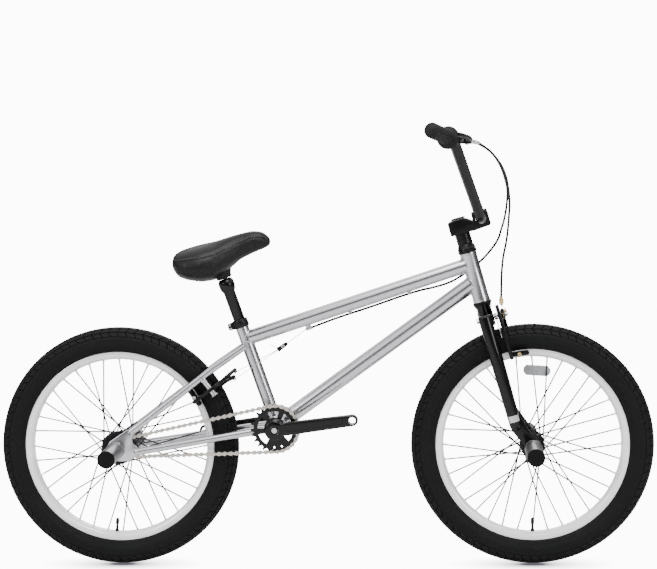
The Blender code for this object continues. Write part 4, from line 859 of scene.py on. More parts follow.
def saddle_section(share):
    """Half width, top and bottom of the saddle, run smoothly along its length."""
    rows = SADDLE_SECTIONS
    for a, b in zip(rows, rows[1:]):
        if share <= b[0]:
            t = (share - a[0]) / (b[0] - a[0])
            t = t * t * (3 - 2 * t) * 0.4 + t * 0.6
            return [p + (q - p) * t for p, q in zip(a[1:], b[1:])]
    return list(rows[-1][1:])


def saddle_point(share, turn, grow=1.0):
    """A point on the saddle's skin: turn runs round a cross-section from its side."""
    half, top, bottom = saddle_section(share)
    middle = bottom + (top - bottom) * SADDLE_MIDDLE
    across, rise = math.cos(turn), math.sin(turn)
    y = half * math.copysign(abs(across) ** 0.75, across) * grow
    reach = (top - middle) if rise >= 0 else (middle - bottom)
    return Vector((SADDLE_REAR_X + SADDLE_LENGTH * share, y, middle + reach * rise * grow))


def saddle():
    builder = bmesh.new()
    rings = []
    count = 32
    shares = [0.0, 0.03, 0.06, 0.11, 0.16, 0.23, 0.30, 0.37, 0.44, 0.50, 0.56, 0.62, 0.68, 0.75,
              0.82, 0.87, 0.92, 0.96, 1.0]
    for share in shares:
        made = bmesh.ops.create_circle(builder, cap_ends=share in (0.0, 1.0), segments=count,
                                       radius=0.01)
        for k, vert in enumerate(made["verts"]):
            vert.co = saddle_point(share, 2 * math.pi * k / count, 0.965)
        rings.append([e for e in builder.edges if all(v in made["verts"] for v in e.verts)])
    for a, b in zip(rings, rings[1:]):
        bmesh.ops.bridge_loops(builder, edges=a + b)
    mesh = finish_mesh(builder, "saddle_pad")
    pad = bpy.data.objects.new("saddle_pad", mesh)
    bpy.context.scene.collection.objects.link(pad)
    remesh = pad.modifiers.new("remesh", "REMESH")
    remesh.mode = "VOXEL"
    remesh.voxel_size = 0.0045
    pad.data = shape_now(pad)
    pad.modifiers.clear()
    rest = [vert.co.copy() for vert in pad.data.vertices]
    inflate(pad, 3.0, 12)
    most = 0.0035
    for vert, before in zip(pad.data.vertices, rest):
        moved = vert.co - before
        if moved.length > most:
            vert.co = before + moved * (most / moved.length)
    builder = bmesh.new()
    builder.from_mesh(pad.data)
    bpy.data.objects.remove(pad)
    for _ in range(5):
        bmesh.ops.smooth_vert(builder, verts=builder.verts, factor=0.5, use_axis_x=True,
                              use_axis_y=True, use_axis_z=True)
    crease_along(builder)
    mesh = finish_mesh(builder, "saddle_pad")
    cover = placed("saddle_cover", mesh, saddle_vinyl(), "seat", ["saddle"], 180)
    soften = cover.modifiers.new("round", "SUBSURF")
    soften.levels = soften.render_levels = 1
    saddle_trim()


def shape_now(obj):
    """The object's mesh with its modifiers applied."""
    bpy.context.view_layer.update()
    return bpy.data.meshes.new_from_object(
        obj.evaluated_get(bpy.context.evaluated_depsgraph_get()))


def inflate(pad, pressure, frames):
    """Blow a closed skin up a little, as stuffing does."""
    cloth = pad.modifiers.new("stuffing", "CLOTH")
    cloth.settings.use_pressure = True
    cloth.settings.uniform_pressure_force = pressure
    cloth.settings.effector_weights.gravity = 0
    cloth.settings.tension_stiffness = 30
    cloth.settings.compression_stiffness = 30
    scene = bpy.context.scene
    for step in range(1, frames + 1):
        scene.frame_set(step)
    mesh = shape_now(pad)
    pad.modifiers.clear()
    pad.data = mesh
    scene.frame_set(1)


def crease_along(builder):
    """Draw the cover in along its two sewn lines."""
    for vert in builder.verts:
        share = (vert.co.x - SADDLE_REAR_X) / SADDLE_LENGTH
        if not 0.02 < share < 0.97:
            continue
        half = saddle_section(share)[0]
        line = seam_height(share)
        near = math.exp(-((vert.co.z - line) / 0.0035) ** 2)
        side = max(0.0, min(1.0, (abs(vert.co.y) / half - 0.35) / 0.3))
        vert.co.y -= math.copysign(0.0016 * near * side, vert.co.y)


def seam_height(share):
    """Where the top panel of the cover is sewn to its sides."""
    _, top, bottom = saddle_section(share)
    return bottom + (top - bottom) * (0.70 + 0.06 * share)


def saddle_trim():
    """The sewn seam round the top panel, and the plastic base under the pad."""
    radius = bpy.context.scene.bike_sizes.seam_radius
    builder = bmesh.new()
    for sign in (-1, 1):
        line = []
        for k in range(40):
            share = 0.03 + 0.93 * k / 39
            _, top, bottom = saddle_section(share)
            middle = bottom + (top - bottom) * SADDLE_MIDDLE
            rise = min(1.0, (seam_height(share) - middle) / (top - middle))
            turn = math.asin(rise)
            at = saddle_point(share, turn, 0.99)
            line.append((at.x, at.y * sign, at.z))
        add_path(builder, line, radius, resolution=1, bend=True)
    piece("saddle_seams", builder, thread_seam(), "seat", sharp=80)

    builder = bmesh.new()
    turned(builder, [(0, 0.3420), (0.0150, 0.3420), (0.0168, 0.3436), (0.0176, 0.3500),
                     (0.0210, 0.3580), (0.0250, 0.3660), (0.0250, 0.3700), (0, 0.3700)], BB,
           SEAT_UP, 36)
    piece("saddle_mount", builder, moulded_black(), "seat")


# --------------------------------------------------------------- steering

def fork():
    builder = bmesh.new()
    turned(builder, [(0, -0.1110), (0.0140, -0.1110), (0.0159, -0.1085), (0.0159, -0.0700),
                     (0.0175, -0.0660), (0.0190, -0.0640), (0.0190, -0.0622), (0, -0.0622)],
           HEAD_MIDDLE, UP, 44)
    half, set_back, yoke_at = 0.0355, -0.0037, -0.0970
    tube(builder, head(set_back, -half, yoke_at), head(set_back, half, yoke_at), 0.0125, sides=36)
    for sign in (-1, 1):
        weld_bead(builder, head(set_back, 0, yoke_at), SIDE * sign, 0.0125, HEAD_MIDDLE, UP,
                  0.0161, 0.0014)
    piece("fork_crown_yoke", builder, black_gloss(), "steering", ["fork_crown"])
    axle = FRONT_AXLE - HEAD_MIDDLE
    low, ahead = axle.dot(-UP), axle.dot(FORE)
    for sign in (-1, 1):
        name = side_name(sign)
        side = 0.050 * sign
        builder = bmesh.new()
        turned(builder, [(0, -0.3395), (0.0060, -0.3385), (0.0100, -0.3355), (0.0122, -0.3310),
                         (0.0128, -0.3270), (0.0143, -0.2000), (0.0143, -0.0850),
                         (0.0139, -0.0834), (0.0120, -0.0816), (0.0080, -0.0806),
                         (0, -0.0802)], head(set_back, side, 0), UP, 40)
        rear = set_back - 0.009
        outline = [(rear, 0.300), (rear + 0.020, 0.300), (ahead + 0.004, low - 0.034),
                   (ahead + 0.013, low - 0.020), (ahead + 0.0175, low - 0.006),
                   (ahead + 0.017, low + 0.007), (ahead + 0.008, low + 0.016),
                   (ahead - 0.006, low + 0.016), (rear + 0.004, 0.350), (rear - 0.002, 0.335)]
        plate_at = HEAD_MIDDLE + SIDE * (sign * 0.0525)
        slab(builder, outline, plate_at, FORE, -UP, 0.0048, 0.0012, 3)
        piece("fork_blade_" + name, builder, black_gloss(), "steering",
              ["fork_leg_" + name])
        builder = bmesh.new()
        first = SIDE * sign
        turned(builder, [(0.0127, -0.318), (0.0133, -0.318), (0.0135, -0.304), (0.0129, -0.304)],
               head(set_back, side, 0), UP, 18, closed=True,
               start=first * 0.8 - FORE, angle=math.radians(-110) * sign)
        bmesh.ops.holes_fill(builder, edges=builder.edges, sides=4)
        piece("fork_band_" + name, builder, foil_label(), "steering")


def foil_label():
    return surface("plain silver foil", (0.62, 0.62, 0.63), (0.50, 0.50, 0.51), (0.3, 0.45),
                   metal=0.6, patches=60.0, grain=600.0, depth=0.1)


def stem():
    split, half, reach, rear = BAR_HEIGHT, 0.018, BAR_FORE, -0.025
    back, front = reach - half, reach + half
    builder = bmesh.new()
    outline = [(rear, 0.1000), (rear + 0.003, 0.0983), (0.0160, 0.0983), (0.030, 0.0975),
               (front - 0.003, split - 0.0195), (front, split - 0.0160),
               (front, split - 0.0004), (back - 0.001, split - 0.0004), (0.018, 0.1262),
               (0.010, 0.1305), (-0.010, 0.1305), (rear + 0.002, 0.1275), (rear, 0.1250)]
    slab(builder, outline, HEAD_MIDDLE, FORE, UP, 0.050, 0.0022, 3)
    cutters = bmesh.new()
    bar = head(reach, 0, split)
    tube(cutters, bar - SIDE * 0.05, bar + SIDE * 0.05, BAR_R + 0.0002, sides=40)
    tube(cutters, head(0, 0, 0.08), head(0, 0, 0.15), 0.0146, sides=40)
    slab(cutters, [(-0.060, 0.08), (-0.010, 0.08), (-0.010, 0.16), (-0.060, 0.16)], HEAD_MIDDLE,
         FORE, UP, 0.0020)
    carved("stem_clamp", builder, cutters, black_alloy(), "steering",
           ["stem_body"])
    builder = bmesh.new()
    top = split + 0.0172
    outline = [(back, split + 0.0006), (front, split + 0.0006), (front, top - 0.0075),
               (front - 0.006, top - 0.0015), (reach + 0.005, top), (reach - 0.005, top),
               (back + 0.006, top - 0.0015), (back, top - 0.0075)]
    slab(builder, outline, HEAD_MIDDLE, FORE, UP, 0.050, 0.0020, 3)
    cutters = bmesh.new()
    tube(cutters, bar - SIDE * 0.05, bar + SIDE * 0.05, BAR_R + 0.0002, sides=40)
    slab(cutters, [(reach - 0.007, split + 0.012), (reach + 0.007, split + 0.012),
                   (reach + 0.007, split + 0.03), (reach - 0.007, split + 0.03)],
         HEAD_MIDDLE, FORE, UP, 0.012)
    carved("stem_top_cap", builder, cutters, black_alloy(), "steering",
           ["stem_cap"])
    builder = bmesh.new()
    for side in (-0.0175, 0.0175):
        for fore in (reach - 0.0135, reach + 0.0135):
            socket_bolt(builder, head(fore, side, top - 0.0062), UP, 0.0040, 0.0050)
    for up in (0.1055, 0.1195):
        socket_bolt(builder, head(rear + 0.007, -0.0250, up), -SIDE, 0.0036, 0.0022)
        socket_bolt(builder, head(rear + 0.007, 0.0250, up), SIDE, 0.0036, 0.0022)
    turned(builder, [(0, 0), (0.0150, 0), (0.0158, 0.0010), (0.0150, 0.0026), (0.0050, 0.0030),
                     (0.0042, 0.0012), (0, 0.0012)], head(0, 0, 0.1306), UP, 36)
    piece("stem_bolts", builder, black_alloy(), "steering")


def handlebar():
    lower = head(BAR_FORE, 0.062, BAR_HEIGHT)
    right = [mirrored(point, -1) for point in (BAR_END, BAR_SHOULDER, lower)]
    path = rounded_path([*right, lower, BAR_SHOULDER, BAR_END], 0.036, 9)
    builder = bmesh.new()
    add_path(builder, path, BAR_R, resolution=8)
    brace_at = lower.lerp(BAR_SHOULDER, 0.62)
    inner = brace_at - SIDE * 0.006
    tube(builder, mirrored(inner, -1), inner, 0.0080, sides=32)
    for sign in (-1, 1):
        ring_at = mirrored(brace_at, sign) - SIDE * sign * 0.0125
        ring = [ring_at + (FORE * math.cos(t) + UP * math.sin(t)) * 0.0080
                for t in (2 * math.pi * k / 40 for k in range(40))]
        add_path(builder, ring, 0.0014, resolution=1, closed=True,
                 radii=[1.0 if k % 2 else 0.7 for k in range(40)])
    piece("handlebar_tube", builder, black_gloss(), "steering", ["handlebar"],
          sharp=60)


def grips():
    ribs = bpy.context.scene.bike_sizes.grip_ribs
    body, length, bore = 0.01575, 0.128, 0.0113
    first_rib, last_rib = 0.012, 0.116
    step = (last_rib - first_rib) / ribs
    profile = [(0, 0.0030), (0.0105, 0.0030), (0.0140, 0.0022), (body, -0.0010), (body, -0.009)]
    for k in range(ribs):
        at = -first_rib - step * k
        profile += [(body - 0.0009, at), (body - 0.0009, at - step * 0.25),
                    (body, at - step * 0.4), (body, at - step * 0.85)]
    profile += [(0.0150, -0.1185), (0.0215, 0.0050 - length), (0.0235, 0.0030 - length),
                (0.0235, 0.0012 - length), (0.0195, -length), (bore, -length), (bore, -0.004),
                (0, -0.004)]
    for sign in (-1, 1):
        name = side_name(sign)
        out = mirrored(BAR_END - BAR_SHOULDER, sign).normalized()
        end = mirrored(BAR_END, sign)
        builder = bmesh.new()
        turned(builder, profile, end, out, 40)
        piece("grip_sleeve_" + name, builder, grip_rubber(), "steering",
              ["grip_" + name], sharp=50)
        builder = bmesh.new()
        over = square_to(out, Vector((0, 0, 1)))[1]
        turned(builder, [(0, 0.0046), (0.0085, 0.0046), (0.0098, 0.0040), (0.0100, 0.0026),
                         (0, 0.0026)], end, out, 32)
        for k in (-1, 1):
            at = end + out * 0.0044 + over * (0.0038 * k)
            turned(builder, [(0, 0.0010), (0.0010, 0.0010), (0.0013, 0.0004), (0.0013, 0), (0, 0)],
                   at, out, 12)
        piece("grip_end_plug_" + name, builder, moulded_black(), "steering")


LEVER_BLADE = [
    (-0.0068, -0.0068), (0.0068, -0.0085), (0.0108, 0.0020), (0.0140, 0.0180),
    (0.0176, 0.0400), (0.0184, 0.0600), (0.0172, 0.0820), (0.0140, 0.0980),
    (0.0118, 0.1060), (0.0085, 0.1080), (0.0062, 0.1055), (0.0078, 0.0840),
    (0.0088, 0.0620), (0.0078, 0.0420), (0.0010, 0.0160), (-0.0066, 0.0080),
]


def levers():
    share = (LEVER_AT - BAR_SHOULDER.y) / (BAR_END.y - BAR_SHOULDER.y)
    for sign in (-1, 1):
        name = side_name(sign)
        middle = mirrored(BAR_SHOULDER.lerp(BAR_END, share), sign)
        out = mirrored(BAR_END - BAR_SHOULDER, sign).normalized()
        ahead = (LEVER_AIM - out * LEVER_AIM.dot(out)).normalized()
        over = ahead.cross(out).normalized()
        builder = bmesh.new()
        turned(builder, [(0.0113, -0.0062), (0.0148, -0.0064), (0.0158, -0.0052),
                         (0.0158, 0.0052), (0.0148, 0.0064), (0.0113, 0.0062)],
               middle, out, 40, closed=True)
        for k in (-1, 1):
            slab(builder, curved_outline([(0.0130, -0.0060), (0.0280, -0.0062), (0.0395, -0.0064),
                                          (0.0418, 0.0), (0.0395, 0.0064), (0.0280, 0.0062),
                                          (0.0130, 0.0060)], 42),
                 middle + over * (0.0060 * k), ahead, out, 0.0032, 0.0007)
        slab(builder, [(0.0135, -0.0058), (0.0215, -0.0058), (0.0215, 0.0058), (0.0135, 0.0058)],
             middle, ahead, out, 0.0140, 0.0010)
        clamp_at = middle - ahead * 0.0175
        slab(builder, [(-0.0052, -0.0050), (0.0052, -0.0050), (0.0052, 0.0050),
                       (-0.0052, 0.0050)], clamp_at, ahead, out, 0.0120, 0.0010)
        piece("lever_perch_" + name, builder, black_alloy(), "steering",
              ["lever_bracket_" + name])

        pivot = middle + ahead * LEVER_REACH
        builder = bmesh.new()
        slab(builder, curved_outline(LEVER_BLADE, 96), pivot, ahead, out, 0.0078, 0.0022, 4)
        piece("lever_blade_" + name, builder, black_alloy(), "brake_lever_" + name,
              ["brake_lever_" + name], sharp=50)

        builder = bmesh.new()
        for k in (-1, 1):
            socket_bolt(builder, pivot + over * (0.0076 * k), over * k, 0.0036, 0.0022)
        socket_bolt(builder, clamp_at - ahead * 0.0015 + over * 0.0060, over, 0.0028, 0.0026)
        start = mirrored(Vector((0.3370, 0.199, 0.9170)), sign)
        barrel_from = middle + ahead * 0.0300 - out * 0.0062
        run = (start - barrel_from).normalized()
        far = (start - barrel_from).length
        turned(builder, [(0.0010, 0), (0.0030, 0), (0.0030, far * 0.35), (0.0046, far * 0.38),
                         (0.0046, far * 0.55), (0.0040, far * 0.60), (0.0046, far * 0.65),
                         (0.0046, far * 0.80), (0.0034, far * 0.90), (0.0034, far),
                         (0.0010, far)], barrel_from, run, 20, closed=True)
        piece("lever_fittings_" + name, builder, bright_steel(), "steering")


# ----------------------------------------------------------------- wheels

def tyre(tag, centre):
    """A casing with moulded tread blocks on a zigzag pitch."""
    sizes = bpy.context.scene.bike_sizes
    depth, rows = sizes.tread_depth, sizes.tread_rows
    middle_r = TYRE_R - TUBE_R
    bead, tread_edge = math.radians(127), math.radians(70)
    skin = TUBE_R - depth
    columns = 6
    turns = [tread_edge * (2 * k / columns - 1) for k in range(columns + 1)]
    side = [tread_edge + (bead - tread_edge) * s for s in (0.12, 0.16, 0.30, 0.45, 0.60, 0.75,
                                                           0.88, 1.0)]
    ridge = {0: 0.0012, 1: 0.0010, 5: 0.0006}
    profile = []
    for sign, order in ((-1, list(reversed(list(enumerate(side))))), (0, None),
                        (1, list(enumerate(side)))):
        if sign == 0:
            profile += [(middle_r + skin * math.cos(t), skin * math.sin(t)) for t in turns]
            continue
        for k, t in order:
            r = skin + ridge.get(k, 0.0004)
            profile.append((middle_r + r * math.cos(t), r * math.sin(t) * sign))
    inner = TUBE_R - 0.0045
    lining = [(middle_r + inner * math.cos(t), inner * math.sin(t))
              for t in (bead * (1 - 2 * k / 12) for k in range(13))]
    foot = [(RIM_R + 0.0036, 0.0205), (RIM_R + 0.0010, 0.0172), (RIM_R + 0.0003, 0.0150),
            (RIM_R - 0.0024, 0.0122), (RIM_R - 0.0024, 0.0105), (RIM_R + 0.0040, 0.0135)]
    profile = [(r, -y) for r, y in reversed(foot)] + profile + foot
    builder = bmesh.new()
    turned(builder, profile + lining, centre, SIDE, rows, closed=True, start=Vector((0, 0, -1)))
    bmesh.ops.remove_doubles(builder, verts=builder.verts, dist=0.00001)
    bmesh.ops.recalc_face_normals(builder, faces=builder.faces)
    pitch = 2 * math.pi / rows
    for vert in builder.verts:
        off = vert.co - centre
        radius = math.hypot(off.x, off.z)
        turn = math.atan2(off.y, radius - middle_r)
        if abs(turn) > tread_edge * 1.02 or radius < middle_r:
            continue
        place = (turn / tread_edge + 1) / 2 * columns
        zigzag = abs((place % 2) - 1) * 0.42
        if math.hypot(radius - middle_r, off.y) > TUBE_R - 0.0040:
            vert.co = centre + Matrix.Rotation(pitch * zigzag, 3, SIDE) @ off
    blocks = []
    for face in builder.faces:
        off = face.calc_center_median() - centre
        radius = math.hypot(off.x, off.z)
        turn = abs(math.atan2(off.y, radius - middle_r))
        if turn < tread_edge and math.hypot(radius - middle_r, off.y) > TUBE_R - 0.0040:
            blocks.append(face)
    bmesh.ops.inset_individual(builder, faces=blocks, thickness=0.0011, depth=depth,
                               use_even_offset=True)
    piece("tyre_casing_" + tag, builder, tyre_rubber(), tag + "_wheel",
          ["tyre_" + tag], sharp=40)


def rim(tag, centre):
    outer, half, inner = RIM_R, RIM_HALF, RIM_INNER
    side = [(inner, 0.0), (inner, half * 0.30), (inner + 0.0006, half * 0.52),
            (inner + 0.0030, half * 0.80), (inner + 0.0052, half * 0.93),
            (inner + 0.0066, half * 0.97), (inner + 0.0069, half * 0.92),
            (inner + 0.0075, half * 0.92), (inner + 0.0078, half * 0.99),
            (outer - 0.0012, half), (outer, half - 0.0006), (outer - 0.0004, half - 0.0024),
            (outer - 0.0024, half - 0.0030), (outer - 0.0040, half - 0.0034),
            (outer - 0.0062, half * 0.66), (outer - 0.0074, half * 0.30),
            (outer - 0.0075, 0.0)]
    profile = side + [(r, -y) for r, y in reversed(side[1:-1])]
    builder = bmesh.new()
    turned(builder, profile, centre, SIDE, 108, closed=True)
    piece("rim_hoop_" + tag, builder, polished_rim(), tag + "_wheel",
          ["rim_" + tag], sharp=30)
    builder = bmesh.new()
    for k in range(SPOKES):
        out = Matrix.Rotation(2 * math.pi * k / SPOKES, 3, SIDE) @ Vector((1, 0, 0))
        turned(builder, [(0.0018, -0.0004), (0.0036, -0.0002), (0.0033, -0.0010),
                         (0.0022, -0.0012)], centre + out * inner, out, 10, closed=True)
    piece("rim_eyelets_" + tag, builder, bright_steel(), tag + "_wheel")


def hub(tag, centre, left_r, right_r, right_end, left_end, axle_r):
    bore = axle_r + 0.0003
    at, thick, core, nut = FLANGE_AT, 0.0017, 0.0160, 0.0108
    builder = bmesh.new()
    turned(builder, [(bore, -right_end), (nut, -right_end), (nut, -at - 0.0050),
                     (0.0140, -at - 0.0040), (right_r - 0.0070, -at - 0.0026),
                     (right_r - 0.0060, -at - thick), (right_r - 0.0006, -at - thick),
                     (right_r, -at - 0.0010), (right_r, -at + 0.0010),
                     (right_r - 0.0006, thick - at), (core + 0.0060, 0.0022 - at),
                     (core, 0.0080 - at), (core - 0.0008, 0.0120 - at),
                     (core - 0.0008, at - 0.0120), (core, at - 0.0080),
                     (core + 0.0060, at - 0.0022), (left_r - 0.0006, at - thick),
                     (left_r, at - 0.0010), (left_r, at + 0.0010), (left_r - 0.0006, at + thick),
                     (left_r - 0.0060, at + thick), (left_r - 0.0070, at + 0.0026),
                     (0.0140, at + 0.0040), (nut, at + 0.0050), (nut, left_end),
                     (bore, left_end)], centre, SIDE, 56, closed=True)
    piece("hub_shell_" + tag, builder, black_alloy(), tag + "_wheel",
          ["hub_" + tag], sharp=32)


def spoke_ends(centre, left_r, right_r):
    """Where each spoke starts at its flange and ends in the rim."""
    per_side = SPOKES // 2
    for sign, flange_r in ((-1, right_r), (1, left_r)):
        for k in range(per_side):
            lean = 1 if k % 2 else -1
            hub_turn = 2 * math.pi * (k + 0.5 * (sign > 0)) / per_side
            rim_turn = hub_turn + lean * 2 * math.pi * SPOKE_CROSS / SPOKES
            root = flange_r - 0.0030
            seat_y = sign * (FLANGE_AT + lean * 0.0026)
            start = centre + Vector((root * math.cos(hub_turn), seat_y, root * math.sin(hub_turn)))
            stop = centre + Vector((0.1925 * math.cos(rim_turn), sign * 0.0012,
                                    0.1925 * math.sin(rim_turn)))
            yield start, stop, sign, lean


def spokes(tag, centre, left_r, right_r):
    wires, nipples = bmesh.new(), bmesh.new()
    for start, stop, sign, lean in spoke_ends(centre, left_r, right_r):
        run = (stop - start).normalized()
        tube(wires, start, stop, 0.0016, sides=8)
        turned(wires, [(0, -0.0012), (0.0019, -0.0010), (0.0021, 0), (0.0014, 0.0008),
                       (0, 0.0010)], start + SIDE * (sign * lean * 0.0002), SIDE * (sign * lean), 8)
        turned(nipples, [(0, -0.0120), (0.0016, -0.0120), (0.0020, -0.0105), (0.0020, -0.0010),
                         (0.0026, 0), (0, 0)], stop, run, 8)
    piece("spoke_wires_" + tag, wires, dark_steel(), tag + "_wheel",
          ["spokes_" + tag], sharp=50)
    piece("spoke_nipples_" + tag, nipples, bright_steel(), tag + "_wheel")


def valve(tag, centre, turn):
    """The air valve, standing in from the rim, with its cap."""
    out = Vector((math.cos(turn), 0, math.sin(turn)))
    foot = centre + out * RIM_INNER
    builder = bmesh.new()
    turned(builder, [(0, -0.003), (0.0046, -0.003), (0.0046, 0.0010), (0.0030, 0.0060),
                     (0.0027, 0.0150), (0.0036, 0.0155), (0.0040, 0.0180), (0.0038, 0.0270),
                     (0.0030, 0.0290), (0, 0.0295)], foot, -out, 20)
    piece("valve_" + tag, builder, moulded_black(), tag + "_wheel")


def reflector(tag, centre, turn, low, high):
    """The lens clipped between two spokes."""
    out = Vector((math.cos(turn), 0, math.sin(turn)))
    along = out.cross(SIDE).normalized()
    middle = centre + out * ((low + high) / 2)
    half_long, half_high = 0.0290, (high - low) / 2
    outline = ([(half_long - 0.006, -half_high), (half_long, -half_high * 0.4)]
               + [(half_long, half_high * 0.4), (half_long - 0.006, half_high)])
    outline += [(-x, -y) for x, y in outline]
    builder = bmesh.new()
    slab(builder, outline, middle, along, out, 0.0090, 0.0010)
    piece("reflector_lens_" + tag, builder, lens_plastic(), tag + "_wheel")


def wheels():
    for tag, centre, left_r, right_r, right_end, left_end, axle_r in (
            ("front", FRONT_AXLE, 0.026, 0.026, 0.0495, 0.0495, 0.00475),
            ("rear", REAR_AXLE, 0.029, 0.037, 0.0395, 0.0545, 0.0070)):
        tyre(tag, centre)
        rim(tag, centre)
        hub(tag, centre, left_r, right_r, right_end, left_end, axle_r)
        spokes(tag, centre, left_r, right_r)
        valve(tag, centre, math.radians(-90 if tag == "front" else -94))
    reflector("front", FRONT_AXLE, math.radians(86), 0.150, 0.172)


def pegs():
    radius, long = 0.019, 0.114
    for tag, centre, body, foot, axle_r in (("rear", REAR_AXLE, "frame", 0.0616, 0.0070),
                                            ("front", FRONT_AXLE, "steering", 0.0556, 0.00475)):
        for sign in (-1, 1):
            name = tag + "_" + side_name(sign)
            start = centre + SIDE * (foot * sign)
            bore = axle_r + 0.0003
            builder = bmesh.new()
            profile = [(bore, 0), (radius - 0.0012, 0), (radius, 0.0012), (radius, 0.0080)]
            for k in range(4):
                at = 0.0080 + 0.0030 * k
                profile += [(radius - 0.0006, at + 0.0006), (radius - 0.0006, at + 0.0014),
                            (radius, at + 0.0020)]
            profile += [(radius, long - 0.0040), (radius - 0.0004, long - 0.0022),
                        (radius - 0.0016, long - 0.0018), (radius - 0.0016, long - 0.0060),
                        (radius - 0.0040, long - 0.0080), (radius - 0.0040, 0.0040),
                        (bore, 0.0040)]
            turned(builder, profile, start, SIDE * sign, 48, closed=True)
            piece("peg_sleeve_" + name, builder, peg_steel(), body,
                  [tag + "_peg_" + side_name(sign)], sharp=30)
            builder = bmesh.new()
            turned(builder, [(0, long - 0.0058), (radius - 0.0018, long - 0.0058),
                             (radius - 0.0018, long - 0.0020), (radius - 0.0003, long - 0.0018),
                             (radius - 0.0003, long - 0.0008), (radius - 0.0012, long),
                             (0, long)], start, SIDE * sign, 48)
            piece("peg_end_cap_" + name, builder, flat_black(), body)


# -------------------------------------------------------------- drivetrain

def chain_layout():
    """The chain's path: where its runs meet the sprocket and the cog."""
    span = BB - REAR_AXLE
    lean = math.atan2(span.z, span.x)
    spread = math.asin((SPROCKET_R - COG_R) / span.length)
    upper = lean + math.pi / 2 + spread
    lower = lean - math.pi / 2 - spread
    run = math.sqrt(span.length_squared - (SPROCKET_R - COG_R) ** 2)
    big_arc = SPROCKET_R * (upper - lower)
    small_arc = COG_R * (2 * math.pi - (upper - lower))
    return upper, lower, run, big_arc, small_arc


def chain_point(reach):
    """A point of the chain's centre line, by its distance from the upper sprocket tangent."""
    upper, lower, run, big_arc, small_arc = chain_layout()
    total = 2 * run + big_arc + small_arc
    reach %= total
    offset = -SIDE * CHAINLINE

    def on(centre, radius, turn):
        return centre + Vector((math.cos(turn), 0, math.sin(turn))) * radius + offset

    if reach < big_arc:
        return on(BB, SPROCKET_R, upper - reach / SPROCKET_R)
    reach -= big_arc
    if reach < run:
        return on(BB, SPROCKET_R, lower).lerp(on(REAR_AXLE, COG_R, lower), reach / run)
    reach -= run
    if reach < small_arc:
        return on(REAR_AXLE, COG_R, lower - reach / COG_R)
    reach -= small_arc
    return on(REAR_AXLE, COG_R, upper).lerp(on(BB, SPROCKET_R, upper), reach / run)


def link_plate(width, thick, across):
    """One waisted chain plate, lying along X about the middle of its link."""
    half = PITCH / 2
    points = arc_outline((half, 0), width, -1.9, 1.9, 6)
    points += [(0, width * 0.46)]
    points += arc_outline((-half, 0), width, math.pi - 1.9, math.pi + 1.9, 6)
    points += [(0, -width * 0.46)]
    builder = bmesh.new()
    for side in across:
        slab(builder, points, SIDE * side, Vector((1, 0, 0)), Vector((0, 0, 1)), thick)
    return builder


def chain():
    _, _, run, big_arc, small_arc = chain_layout()
    total = 2 * run + big_arc + small_arc
    count = 2 * round(total / PITCH / 2)
    step = total / count
    outer = link_plate(0.0044, 0.0010, (-0.0032, 0.0032))
    inner = link_plate(0.0040, 0.0010, (-0.0020, 0.0020))
    for builder, reach in ((outer, 0.0040), (inner, 0.0015)):
        for side in (-PITCH / 2, PITCH / 2):
            at = Vector((side, 0, 0))
            radius = 0.0018 if builder is outer else 0.0038
            tube(builder, at - SIDE * reach, at + SIDE * reach, radius, sides=8)
    meshes = [finish_mesh(outer, "outer_link"), finish_mesh(inner, "inner_link")]
    whole = bmesh.new()
    for k in range(count):
        first, second = chain_point(step * k), chain_point(step * (k + 1))
        way = (second - first).normalized()
        over = way.cross(SIDE)
        place = Matrix.Translation((first + second) / 2) @ Matrix(
            (way, SIDE, -over)).transposed().to_4x4()
        stamp(whole, meshes[k % 2], [place])
    piece("chain_links", whole, chain_steel(), "frame", ["chain"], sharp=40)


def toothed_outline(radius, teeth, phase):
    root, tip = radius - 0.0041, radius + 0.0036
    step = 2 * math.pi / teeth
    outline = []
    for k in range(teeth):
        gap = phase + step * k
        for share, r in ((-0.20, root + 0.0007), (0.0, root), (0.20, root + 0.0007),
                         (0.40, tip - 0.0012), (0.47, tip), (0.53, tip), (0.60, tip - 0.0012)):
            turn = gap + step * share
            outline.append((r * math.cos(turn), r * math.sin(turn)))
    return outline


